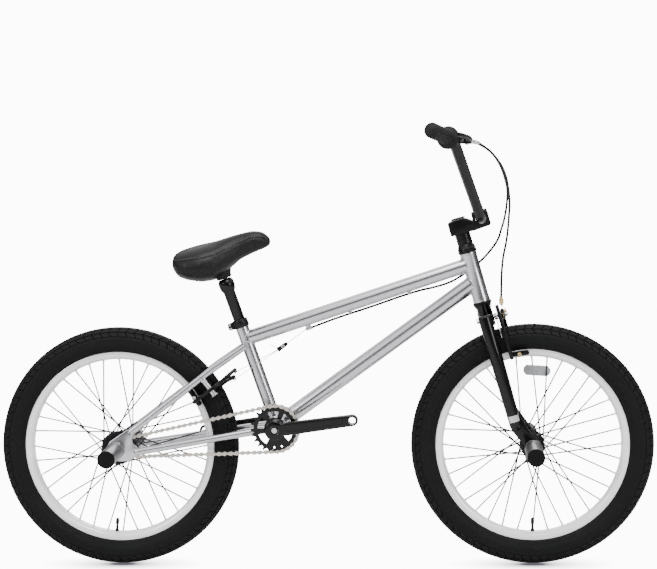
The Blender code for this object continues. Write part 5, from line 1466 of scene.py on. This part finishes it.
def sprocket():
    upper, lower, run, big_arc, small_arc = chain_layout()
    middle = BB - SIDE * CHAINLINE
    x, z = Vector((1, 0, 0)), Vector((0, 0, 1))
    builder = bmesh.new()
    slab(builder, toothed_outline(SPROCKET_R, TEETH, upper), middle, x, z, 0.0025)
    cutters = bmesh.new()
    tube(cutters, middle - SIDE * 0.02, middle + SIDE * 0.02, 0.0118, sides=36)
    for turn in (338, 38, 98, 158, 218):
        half = 21
        far = arc_outline((0, 0), 0.0385, math.radians(turn - half), math.radians(turn + half), 10)
        near = arc_outline((0, 0), 0.0245, math.radians(turn + half - 3),
                           math.radians(turn - half + 3), 8)
        slab(cutters, far + near, middle, x, z, 0.02)
    for turn in (266, 290):
        out = Vector((math.cos(math.radians(turn)), 0, math.sin(math.radians(turn))))
        at = middle + out * 0.0405
        tube(cutters, at - SIDE * 0.02, at + SIDE * 0.02, 0.0021, sides=16)
    carved("sprocket_ring", builder, cutters, black_gloss(), "crank",
           ["sprocket"], sharp=30)
    builder = bmesh.new()
    turned(builder, [(0.0100, 0), (0.0225, 0), (0.0235, 0.0010), (0.0235, 0.0030),
                     (0.0215, 0.0050), (0.0150, 0.0085), (0.0100, 0.0085)],
           middle - SIDE * 0.0016, -SIDE, 44, closed=True)
    piece("sprocket_boss", builder, black_alloy(), "crank")

    centre = REAR_AXLE - SIDE * CHAINLINE
    total = 2 * run + big_arc + small_arc
    step = total / (2 * round(total / PITCH / 2))
    first = math.ceil((big_arc + run) / step) * step - big_arc - run
    contact = lower - first / COG_R
    builder = bmesh.new()
    slab(builder, toothed_outline(COG_R, COG_TEETH, contact), centre, x, z, 0.0025)
    cutters = bmesh.new()
    tube(cutters, centre - SIDE * 0.02, centre + SIDE * 0.02, 0.0073, sides=28)
    carved("driver_teeth", builder, cutters, black_alloy(), "driver",
           ["driver_cog"], sharp=30)
    builder = bmesh.new()
    turned(builder, [(0.0074, -0.0060), (0.0110, -0.0060), (0.0115, -0.0050), (0.0115, 0.0060),
                     (0.0100, 0.0080), (0.0074, 0.0080)], centre, -SIDE, 32, closed=True)
    piece("driver_sleeve", builder, bright_steel(), "driver")


def cranks():
    for sign in (-1, 1):
        name = side_name(sign)
        along = Vector((math.cos(CRANK_ANGLE), 0, math.sin(CRANK_ANGLE))) * -sign
        across = SIDE.cross(along)
        middle = BB + SIDE * (sign * 0.0655)
        outline = arc_outline((0, 0), 0.0218, math.radians(40), math.radians(320), 26)
        outline += [(0.030, -0.0144), (0.060, -0.0141), (0.110, -0.0134), (0.150, -0.0127)]
        outline += arc_outline((CRANK_LENGTH, 0), 0.0125, -math.pi / 2, math.pi / 2, 16)
        outline += [(0.150, 0.0127), (0.110, 0.0134), (0.060, 0.0141), (0.030, 0.0144)]
        builder = bmesh.new()
        slab(builder, outline, middle, along, across, 0.0148, 0.0040, 4)
        turned(builder, [(0, 0), (0.0196, 0), (0.0190, 0.0024), (0.0160, 0.0038), (0.0120, 0.0042),
                         (0, 0.0042)], middle - SIDE * (sign * 0.0074), SIDE * -sign, 40)
        cutters = bmesh.new()
        eye = middle + along * CRANK_LENGTH
        tube(cutters, eye - SIDE * 0.02, eye + SIDE * 0.02, 0.0072, sides=36)
        pocket = arc_outline((0.034, 0), 0.0068, math.pi / 2, math.pi * 1.5, 8)
        pocket += arc_outline((0.145, 0), 0.0052, -math.pi / 2, math.pi / 2, 8)
        slab(cutters, pocket, middle + SIDE * (sign * 0.0080), along, across, 0.0030)
        turned(cutters, [(0, 0.004), (0.0096, 0.004), (0.0096, 0.030), (0, 0.030)], middle,
               SIDE * sign, 32)
        carved("crank_beam_" + name, builder, cutters, black_gloss(), "crank",
               ["crank_" + name], sharp=32)
        builder = bmesh.new()
        foot = middle + SIDE * (sign * 0.0042)
        turned(builder, [(0, 0), (0.0092, 0), (0.0092, 0.0030), (0.0084, 0.0036),
                         (0.0062, 0.0036), (0.0056, 0.0008), (0, 0.0006)], foot, SIDE * sign, 30)
        piece("crank_bolt_" + name, builder, black_alloy(), "crank")
        builder = bmesh.new()
        turned(builder, [(0.0072, -0.0076), (0.0080, -0.0076), (0.0078, -0.0066),
                         (0.0071, -0.0060)], eye, SIDE, 32, closed=True)
        turned(builder, [(0.0072, 0.0076), (0.0080, 0.0076), (0.0078, 0.0066),
                         (0.0071, 0.0060)], eye, SIDE, 32, closed=True)
        piece("pedal_eye_" + name, builder, bright_steel(), "crank")
    builder = bmesh.new()
    for sign in (-1, 1):
        turned(builder, [(0.0098, 0.0340), (0.0195, 0.0340), (0.0200, 0.0350), (0.0200, 0.0372),
                         (0.0180, 0.0384), (0.0130, 0.0384), (0.0130, 0.0420), (0.0098, 0.0420)],
               BB, SIDE * sign, 36, closed=True)
    piece("bottom_bracket_covers", builder, black_alloy(), "frame")


# ------------------------------------------------------------------ brakes

def brake_pad(name, axle_place, radial, sign, body):
    """A rubber pad along the rim with its holder, washers and nut."""
    middle = axle_place + radial * BRAKE_TRACK
    along = radial.cross(SIDE)
    face = RIM_HALF + 0.0022
    builder = bmesh.new()
    outline = arc_outline((0.0170, 0), 0.0048, -math.pi / 2, math.pi / 2, 6)
    outline += arc_outline((-0.0170, 0), 0.0048, math.pi / 2, math.pi * 1.5, 6)
    slab(builder, outline, middle + SIDE * (sign * (face + 0.0040)), along, radial, 0.0080, 0.0008)
    piece("pad_block_" + name, builder, pad_rubber(), body)
    builder = bmesh.new()
    slab(builder, outline, middle + SIDE * (sign * (face + 0.0092)), along, radial, 0.0026, 0.0006)
    turned(builder, [(0, 0), (0.0062, 0), (0.0062, 0.0018), (0.0044, 0.0024), (0.0044, 0.0045),
                     (0, 0.0045)], middle + SIDE * (sign * (face + 0.0104)), SIDE * sign, 24)
    piece("pad_holder_" + name, builder, black_alloy(), body)
    return middle, face


def caliper():
    centre = head(0, 0, -CALIPER_DROP)
    axle = FRONT_AXLE - centre
    ahead = axle.dot(FORE)
    pad_ahead = 0.0462
    pad_down = axle.dot(-UP) - math.sqrt(BRAKE_TRACK ** 2 - (ahead - pad_ahead) ** 2)
    radial = (centre + FORE * pad_ahead - UP * pad_down - FRONT_AXLE).normalized()
    foot = RIM_HALF + 0.0150
    for layer, sign in ((0, -1), (1, 1)):
        name = side_name(sign)
        outline = [(0.0500, 0.0180), (0.0532, 0.0400), (0.0528, pad_down - 0.004),
                   (0.0470, pad_down + 0.0050), (foot, pad_down + 0.0060), (foot, pad_down - 0.0050),
                   (0.0410, pad_down - 0.0110), (0.0418, 0.0430), (0.0400, 0.0250),
                   (0.0300, 0.0110), (0.0140, 0.0095), (0.0, 0.0105), (-0.0085, 0.0060)]
        if sign < 0:
            outline += [(-0.0085, -0.0060), (0.0, -0.0105), (0.0180, -0.0175), (0.0280, -0.0250),
                        (0.0390, -0.0255), (0.0440, -0.0080)]
        else:
            outline += [(-0.0120, 0.0020), (-0.0280, -0.0065), (-0.0385, -0.0070),
                        (-0.0390, -0.0150), (-0.0280, -0.0155), (-0.0100, -0.0110),
                        (0.0, -0.0105), (0.0340, -0.0060)]
        rise = 0.0240 + layer * 0.0083 + 0.0040
        builder = bmesh.new()
        slab(builder, curved_outline(outline, 110), centre + FORE * rise, SIDE * sign, -UP,
             0.0078, 0.0022, 3)
        piece("caliper_reach_" + name, builder, black_alloy(), "caliper_arm_" + name,
              ["caliper_arm_" + name], sharp=50)
        middle, face = brake_pad("front_" + name, FRONT_AXLE, radial, sign, "caliper_arm_" + name)
        builder = bmesh.new()
        socket_bolt(builder, middle + SIDE * (sign * (face + 0.0150)), SIDE * sign, 0.0046, 0.0055)
        piece("pad_bolt_front_" + name, builder, brass(), "caliper_arm_" + name)
    builder = bmesh.new()
    pin(builder, centre - FORE * 0.0155, centre + FORE * 0.0470, 0.0030)
    hex_nut(builder, centre + FORE * 0.0408, FORE, 0.0066, 0.0050, 0.0030)
    turned(builder, [(0.0030, 0.0400), (0.0080, 0.0400), (0.0080, 0.0408), (0.0030, 0.0408)],
           centre, FORE, 28, closed=True)
    hex_nut(builder, centre - FORE * 0.0230, FORE, 0.0066, 0.0060, 0.0030)
    turned(builder, [(0.0030, 0.0162), (0.0070, 0.0162), (0.0076, 0.0180), (0.0076, 0.0236),
                     (0.0030, 0.0236)], centre, FORE, 28, closed=True)
    add_path(builder, [centre + FORE * 0.0200 + SIDE * y - UP * z for y, z in (
        (-0.034, 0.044), (-0.036, 0.030), (-0.024, 0.014), (-0.008, 0.006), (0.0, 0.0075),
        (0.008, 0.006), (0.024, 0.014), (0.036, 0.030), (0.034, 0.044))], 0.0011,
             resolution=2, bend=True)
    piece("caliper_pivot_bolt", builder, bright_steel(), "steering",
          ["caliper_bolt"])
    builder = bmesh.new()
    top = Vector((0.3850, -0.035, 0.5840))
    low = Vector((0.3860, -0.035, 0.5700))
    run = (low - top).normalized()
    turned(builder, [(0.0018, -0.0040), (0.0038, -0.0040), (0.0038, 0.0010), (0.0050, 0.0014),
                     (0.0052, 0.0050), (0.0046, 0.0058), (0.0052, 0.0066), (0.0050, 0.0110),
                     (0.0030, 0.0120), (0.0030, 0.0150), (0.0018, 0.0150)], top, run, 20,
           closed=True)
    piece("caliper_barrel", builder, brass(), "caliper_arm_right")
    builder = bmesh.new()
    clamp = centre + FORE * 0.0360 + SIDE * -0.034 + UP * 0.0105
    add_path(builder, [low, low.lerp(clamp, 0.5), clamp - UP * 0.014], 0.0008, resolution=2)
    socket_bolt(builder, clamp + FORE * 0.0045, FORE, 0.0044, 0.0050)
    piece("caliper_cable_anchor", builder, brass(), "caliper_arm_left")


def rear_brake():
    pads = UBRAKE_PIVOT - STAY_RUN * 0.043 - REAR_AXLE
    pads.y = 0
    radial = pads.normalized()
    pad_in = UBRAKE_PIVOT.y - RIM_HALF - 0.0142
    tip, reach, low = 0.054, 0.0765, -0.043
    outline = [(0.0095, -0.0085), (0.0260, 0.0020), (0.0440, 0.0300), (tip + 0.0020, reach - 0.012),
               (tip + 0.0055, reach - 0.001), (tip + 0.0015, reach + 0.0045),
               (tip - 0.0060, reach + 0.0015), (0.0380, 0.0520), (0.0300, 0.0300),
               (0.0180, 0.0145), (0.0040, 0.0100), (-0.0090, 0.0090), (-0.0240, 0.0115),
               (low + 0.009, 0.0115), (low + 0.0055, pad_in), (low - 0.0055, pad_in),
               (low - 0.0058, -0.0010), (low + 0.004, -0.0050), (-0.0240, -0.0045),
               (-0.0080, -0.0085)]
    for layer, sign in ((0, -1), (1, 1)):
        name = side_name(sign)
        pivot = mirrored(UBRAKE_PIVOT, sign)
        rise = 0.0030 + layer * 0.0086 + 0.0040
        body = "ubrake_arm_" + name
        builder = bmesh.new()
        slab(builder, curved_outline(outline, 120), pivot + STAY_AWAY * rise, STAY_RUN,
             SIDE * -sign, 0.0078, 0.0020, 3)
        cutters = bmesh.new()
        tube(cutters, pivot - STAY_AWAY * 0.05, pivot + STAY_AWAY * 0.05, 0.0063, sides=28)
        carved("ubrake_reach_" + name, builder, cutters, black_alloy(), body,
               [body], sharp=50)
        middle, face = brake_pad("rear_" + name, REAR_AXLE, radial, sign, body)
        builder = bmesh.new()
        socket_bolt(builder, middle + SIDE * (sign * (face + 0.0150)), SIDE * sign, 0.0050, 0.0070)
        end = pivot + STAY_RUN * tip - SIDE * (sign * reach) + STAY_AWAY * (rise + 0.0040)
        socket_bolt(builder, end, STAY_AWAY, 0.0040, 0.0036)
        piece("pad_bolt_rear_" + name, builder, bright_steel(), body)
        builder = bmesh.new()
        turned(builder, [(0, 0), (0.0084, 0), (0.0084, 0.0012), (0.0060, 0.0030),
                         (0.0040, 0.0030), (0.0036, 0.0014), (0, 0.0014)],
               pivot + STAY_AWAY * 0.0206, STAY_AWAY, 28)
        piece("ubrake_pivot_bolt_" + name, builder, bright_steel(), "frame")


# ------------------------------------------------------------------ cables

def cable_run():
    """Where the rear cable's stop stands under the top tube."""
    start, run, above = top_tube_line()
    line = start - above * (TOP_TUBE_R + 0.0063)
    beside = start - above * (TOP_TUBE_R + 0.0042)
    front = line + run * (STOP_AT + 0.0073)
    back = line + run * (STOP_AT - 0.0073)
    return front, back, [beside + run * reach for reach in (0.395, 0.280, 0.200)]


def cables():
    front, back, under_tube = cable_run()
    builder = bmesh.new()
    add_path(builder, FRONT_HOUSING, 0.0026, resolution=2, bend=True)
    piece("front_cable_sheath", builder, cable_sheath(), "steering",
          ["front_housing"], 80)
    builder = bmesh.new()
    add_path(builder, [*REAR_HOUSING, *under_tube, front], 0.0026, resolution=2, bend=True)
    sheath = piece("rear_cable_sheath", builder, cable_sheath(), None,
                   ["rear_housing"], 80)
    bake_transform(sheath)

    start, run, above = top_tube_line()
    builder = bmesh.new()
    for reach in (0.370, 0.235):
        foot = start + run * reach - above * (TOP_TUBE_R - 0.0006)
        slab(builder, [(-0.0040, 0), (0.0040, 0), (0.0030, -0.0040), (-0.0030, -0.0040)], foot,
             run, above, 0.0090, 0.0010)
    piece("cable_guides", builder, frame_steel(), "frame")

    pull = (back - HANGER_AT).normalized()
    lift = SIDE.cross(pull)
    builder = bmesh.new()
    add_path(builder, [back, back.lerp(HANGER_AT, 0.5), HANGER_AT - pull * 0.010], 0.0009,
             resolution=2)
    tail = HANGER_AT - pull * 0.012
    add_path(builder, [tail, tail - pull * 0.012 - lift * 0.006,
                       tail - pull * 0.020 - lift * 0.020], 0.0008, resolution=2, bend=True)
    piece("rear_cable_wire", builder, bright_steel(), "hanger", ["rear_wire"],
          sharp=80)
    builder = bmesh.new()
    half = 0.0125
    outline = [(-half, -0.0050), (half - 0.006, -0.0046), (half, -0.0030), (half, 0.0030),
               (half - 0.006, 0.0046), (-half, 0.0050), (-half - 0.002, 0.0)]
    slab(builder, outline, HANGER_AT - pull * half, pull, lift, 0.0078, 0.0016, 3)
    piece("straddle_carrier", builder, black_alloy(), "hanger",
          ["straddle_hanger"])
    builder = bmesh.new()
    hex_nut(builder, HANGER_AT - pull * 0.011 - SIDE * 0.0040, -SIDE, 0.0048, 0.0040, 0.0010)
    pin(builder, HANGER_AT - pull * 0.011 - SIDE * 0.0080, HANGER_AT - pull * 0.011 + SIDE * 0.006,
        0.0026)
    piece("straddle_clamp_bolt", builder, bright_steel(), "hanger")

    foot = HANGER_AT - pull * 0.025
    bend = foot - pull * 0.0011
    over_arms = 0.0030 + 0.008 + 0.0006 + 0.0008
    route = [bend]
    for layer, sign in ((1, 1), (0, -1)):
        rise = over_arms + layer * 0.0086
        arm_end = mirrored(UBRAKE_PIVOT, sign) + STAY_RUN * 0.054 - SIDE * (sign * 0.0765)
        arm_end += STAY_AWAY * rise
        nose = bend - SIDE * (sign * 0.0042)
        part = [nose, nose.lerp(arm_end, 0.5), arm_end]
        route = [*reversed(part), *route] if sign > 0 else [*route, *part]
    builder = bmesh.new()
    add_path(builder, route, 0.0008, resolution=2, bend=True)
    piece("straddle_cable", builder, bright_steel(), "hanger", ["straddle_wire"],
          sharp=80)


def hidden_pieces():
    """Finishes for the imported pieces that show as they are."""
    for name, finish in (("steerer", black_gloss()), ("front_axle", bright_steel()),
                         ("rear_axle", bright_steel()), ("crank_spindle", bright_steel())):
        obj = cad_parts[name]
        for place in obj.material_slots:
            place.material = finish


# ------------------------------------------------------------------ studio

CAMERA_AT = Vector((0.2563, -3.74, 0.932))
CAMERA_YAW, CAMERA_PITCH, CAMERA_ROLL = -0.0649, -0.0845, -0.0152
CAMERA_LENS = 94.9
PAPER_GLOW = 12.0               # strength at which the view shows plain white


def studio_floor():
    """A pale sheet with a soft painted shadow where each wheel stands."""
    mesh = bpy.data.meshes.new("studio_floor")
    builder = bmesh.new()
    bmesh.ops.create_grid(builder, x_segments=2, y_segments=2, size=12,
                          matrix=Matrix.Translation((0, 0, -0.0006)))
    builder.to_mesh(mesh)
    builder.free()
    made = bpy.data.materials.new("studio paper")
    made.use_nodes = True
    tree = made.node_tree
    tree.nodes.clear()
    place = node(tree, "ShaderNodeTexCoord").outputs["Object"]
    shade = None
    # Each wheel's painted shadow: a spherical gradient squeezed flat round the spot under its axle.
    for x in (REAR_AXLE.x, FRONT_AXLE.x):
        mapping = node(tree, "ShaderNodeMapping", vector_type="TEXTURE")
        mapping.inputs["Location"].default_value = (x, -0.010, 0)
        mapping.inputs["Scale"].default_value = (0.190, 0.080, 1)
        tree.links.new(place, mapping.inputs["Vector"])
        ball = node(tree, "ShaderNodeTexGradient", gradient_type="SPHERICAL")
        tree.links.new(mapping.outputs["Vector"], ball.inputs["Vector"])
        fac = maths(tree, "MULTIPLY", ball.outputs["Fac"], 1.15)
        shade = fac if shade is None else maths(tree, "ADD", shade, fac)
    # The floor's white, darkened towards near black in the painted shadows under the wheels.
    paper = blend_colour(tree, shade, (1.0, 1.0, 1.0), (0.012, 0.012, 0.014))
    glow = node(tree, "ShaderNodeEmission")
    glow.inputs["Strength"].default_value = PAPER_GLOW
    tree.links.new(paper, glow.inputs["Color"])
    dull = node(tree, "ShaderNodeBsdfPrincipled")
    dull.inputs["Base Color"].default_value = (0.72, 0.72, 0.72, 1)
    dull.inputs["Roughness"].default_value = 0.9
    seen = node(tree, "ShaderNodeLightPath")
    mix = node(tree, "ShaderNodeMixShader")
    tree.links.new(seen.outputs["Is Camera Ray"], mix.inputs[0])
    tree.links.new(dull.outputs[0], mix.inputs[1])
    tree.links.new(glow.outputs[0], mix.inputs[2])
    out = node(tree, "ShaderNodeOutputMaterial")
    tree.links.new(mix.outputs[0], out.inputs["Surface"])
    mesh.materials.append(made)
    floor = bpy.data.objects.new("studio_floor", mesh)
    bpy.context.scene.collection.objects.link(floor)


def studio_world():
    """White behind, and for reflections a bright sky over a darker band at eye level."""
    world = bpy.data.worlds.new("studio")
    bpy.context.scene.world = world
    world.use_nodes = True
    tree = world.node_tree
    tree.nodes.clear()
    way = node(tree, "ShaderNodeTexCoord").outputs["Generated"]
    split = node(tree, "ShaderNodeSeparateXYZ")
    tree.links.new(way, split.inputs[0])
    ramp = node(tree, "ShaderNodeValToRGB")
    lift = maths(tree, "MULTIPLY", split.outputs["Z"], 0.5)
    tree.links.new(lift, ramp.inputs["Fac"])
    stops = ramp.color_ramp
    stops.elements[0].position, stops.elements[0].color = 0.0, (0.05, 0.05, 0.052, 1)
    stops.elements[1].position, stops.elements[1].color = 0.50, (1.0, 1.0, 1.0, 1)
    for at, tone in ((0.07, 0.03), (0.16, 0.12), (0.23, 0.9)):
        mark = stops.elements.new(at)
        mark.color = (tone, tone, tone, 1)
    sky = node(tree, "ShaderNodeBackground")
    sky.inputs["Strength"].default_value = 1.7
    tree.links.new(ramp.outputs[0], sky.inputs["Color"])
    white = node(tree, "ShaderNodeBackground")
    white.inputs["Color"].default_value = (1, 1, 1, 1)
    white.inputs["Strength"].default_value = PAPER_GLOW
    seen = node(tree, "ShaderNodeLightPath")
    mix = node(tree, "ShaderNodeMixShader")
    tree.links.new(seen.outputs["Is Camera Ray"], mix.inputs[0])
    tree.links.new(sky.outputs[0], mix.inputs[1])
    tree.links.new(white.outputs[0], mix.inputs[2])
    out = node(tree, "ShaderNodeOutputWorld")
    tree.links.new(mix.outputs[0], out.inputs["Surface"])


def studio_lamps():
    for name, place, size, power in (
            ("lamp_top", (0.2, -1.2, 2.6), 1.2, 55.0),
            ("lamp_left", (-2.2, -2.0, 1.5), 1.0, 32.0),
            ("lamp_right", (2.4, -1.8, 1.3), 0.9, 26.0),
            ("lamp_back", (0.0, 2.6, 2.0), 1.6, 40.0)):
        lamp = bpy.data.lights.new(name, "AREA")
        lamp.shape = "RECTANGLE"
        lamp.size = lamp.size_y = size
        lamp.energy = power
        obj = bpy.data.objects.new(name, lamp)
        obj.location = place
        aim = Vector((0, 0, 0.45)) - Vector(place)
        obj.rotation_euler = aim.to_track_quat("-Z", "Y").to_euler()
        bpy.context.scene.collection.objects.link(obj)


def studio_camera():
    ahead = Vector((math.sin(CAMERA_YAW) * math.cos(CAMERA_PITCH),
                    math.cos(CAMERA_YAW) * math.cos(CAMERA_PITCH), math.sin(CAMERA_PITCH)))
    level = Vector((math.cos(CAMERA_YAW), -math.sin(CAMERA_YAW), 0))
    over = level.cross(ahead)
    right = level * math.cos(CAMERA_ROLL) + over * math.sin(CAMERA_ROLL)
    up = over * math.cos(CAMERA_ROLL) - level * math.sin(CAMERA_ROLL)
    lens = bpy.data.cameras.new("studio_camera")
    lens.sensor_width = 36
    lens.lens = CAMERA_LENS
    obj = bpy.data.objects.new("studio_camera", lens)
    obj.matrix_world = (Matrix.Translation(CAMERA_AT)
                        @ Matrix((right, up, -ahead)).transposed().to_4x4())
    bpy.context.scene.collection.objects.link(obj)
    bpy.context.scene.camera = obj


# ------------------------------------------------------------------ add-on

class BIKE_OT_frame(bpy.types.Operator):
    """Build the welded main frame with its seat collar"""
    bl_idname = "bike.frame"
    bl_label = "Main Frame"

    def execute(self, context):
        frame_tubes()
        return {"FINISHED"}


class BIKE_OT_stays(bpy.types.Operator):
    """Build the seat stays, chain stays and rear dropouts"""
    bl_idname = "bike.stays"
    bl_label = "Stays and Dropouts"

    def execute(self, context):
        stays()
        return {"FINISHED"}


class BIKE_OT_headset(bpy.types.Operator):
    """Build the headset cups and spacers"""
    bl_idname = "bike.headset"
    bl_label = "Headset"

    def execute(self, context):
        headset()
        return {"FINISHED"}


class BIKE_OT_seat(bpy.types.Operator):
    """Build the seat post and the stuffed saddle"""
    bl_idname = "bike.seat"
    bl_label = "Saddle and Post"

    def execute(self, context):
        seat_post()
        saddle()
        return {"FINISHED"}


class BIKE_OT_fork(bpy.types.Operator):
    """Build the fork"""
    bl_idname = "bike.fork"
    bl_label = "Fork"

    def execute(self, context):
        fork()
        return {"FINISHED"}


class BIKE_OT_bars(bpy.types.Operator):
    """Build the stem, the handlebar and its grips"""
    bl_idname = "bike.bars"
    bl_label = "Stem, Bar and Grips"

    def execute(self, context):
        stem()
        handlebar()
        grips()
        return {"FINISHED"}


class BIKE_OT_levers(bpy.types.Operator):
    """Build the brake levers and their perches"""
    bl_idname = "bike.levers"
    bl_label = "Brake Levers"

    def execute(self, context):
        levers()
        return {"FINISHED"}


class BIKE_OT_wheels(bpy.types.Operator):
    """Build both wheels: tyres, rims, spokes, hubs and valves"""
    bl_idname = "bike.wheels"
    bl_label = "Wheels"

    def execute(self, context):
        wheels()
        return {"FINISHED"}


class BIKE_OT_pegs(bpy.types.Operator):
    """Build the four axle pegs"""
    bl_idname = "bike.pegs"
    bl_label = "Axle Pegs"

    def execute(self, context):
        pegs()
        return {"FINISHED"}


class BIKE_OT_drivetrain(bpy.types.Operator):
    """Build the cranks, sprocket, driver cog and chain"""
    bl_idname = "bike.drivetrain"
    bl_label = "Cranks and Chain"

    def execute(self, context):
        cranks()
        sprocket()
        chain()
        return {"FINISHED"}


class BIKE_OT_brakes(bpy.types.Operator):
    """Build the front caliper and the rear U-brake"""
    bl_idname = "bike.brakes"
    bl_label = "Brakes"

    def execute(self, context):
        caliper()
        rear_brake()
        return {"FINISHED"}


class BIKE_OT_cables(bpy.types.Operator):
    """Build the brake cables, and finish the pieces shown as they are packed"""
    bl_idname = "bike.cables"
    bl_label = "Cables"

    def execute(self, context):
        cables()
        hidden_pieces()
        return {"FINISHED"}


class BIKE_OT_studio(bpy.types.Operator):
    """Build the studio floor, lights and camera"""
    bl_idname = "bike.studio"
    bl_label = "Studio"

    def execute(self, context):
        studio_floor()
        studio_world()
        studio_lamps()
        studio_camera()
        return {"FINISHED"}


STEPS = (BIKE_OT_frame, BIKE_OT_stays, BIKE_OT_headset, BIKE_OT_seat, BIKE_OT_fork,
         BIKE_OT_bars, BIKE_OT_levers, BIKE_OT_wheels, BIKE_OT_pegs, BIKE_OT_drivetrain,
         BIKE_OT_brakes, BIKE_OT_cables, BIKE_OT_studio)


class BIKE_PT_panel(bpy.types.Panel):
    """The pieces of the bike, in build order"""
    bl_idname = "BIKE_PT_panel"
    bl_label = "BMX Bike"
    bl_space_type = "VIEW_3D"
    bl_region_type = "UI"
    bl_category = "BMX Bike"

    def draw(self, context):
        for step in STEPS:
            self.layout.operator(step.bl_idname)
        for settings in (context.scene.bike_finish, context.scene.bike_sizes):
            for name in settings.bl_rna.properties.keys():
                if name not in ("rna_type", "name"):
                    self.layout.prop(settings, name)


CLASSES = (BikeFinish, BikeSizes, *STEPS, BIKE_PT_panel)


def register():
    for cls in CLASSES:
        bpy.utils.register_class(cls)
    bpy.types.Scene.bike_finish = PointerProperty(type=BikeFinish)
    bpy.types.Scene.bike_sizes = PointerProperty(type=BikeSizes)


def unregister():
    del bpy.types.Scene.bike_sizes
    del bpy.types.Scene.bike_finish
    for cls in reversed(CLASSES):
        bpy.utils.unregister_class(cls)


def main():
    register()
    for group in (mottle_group, grain_group, wear_group, dust_group):
        group()
    for step in STEPS:
        family, name = step.bl_idname.split(".")
        getattr(getattr(bpy.ops, family), name)()


if __name__ == "__main__":
    main()
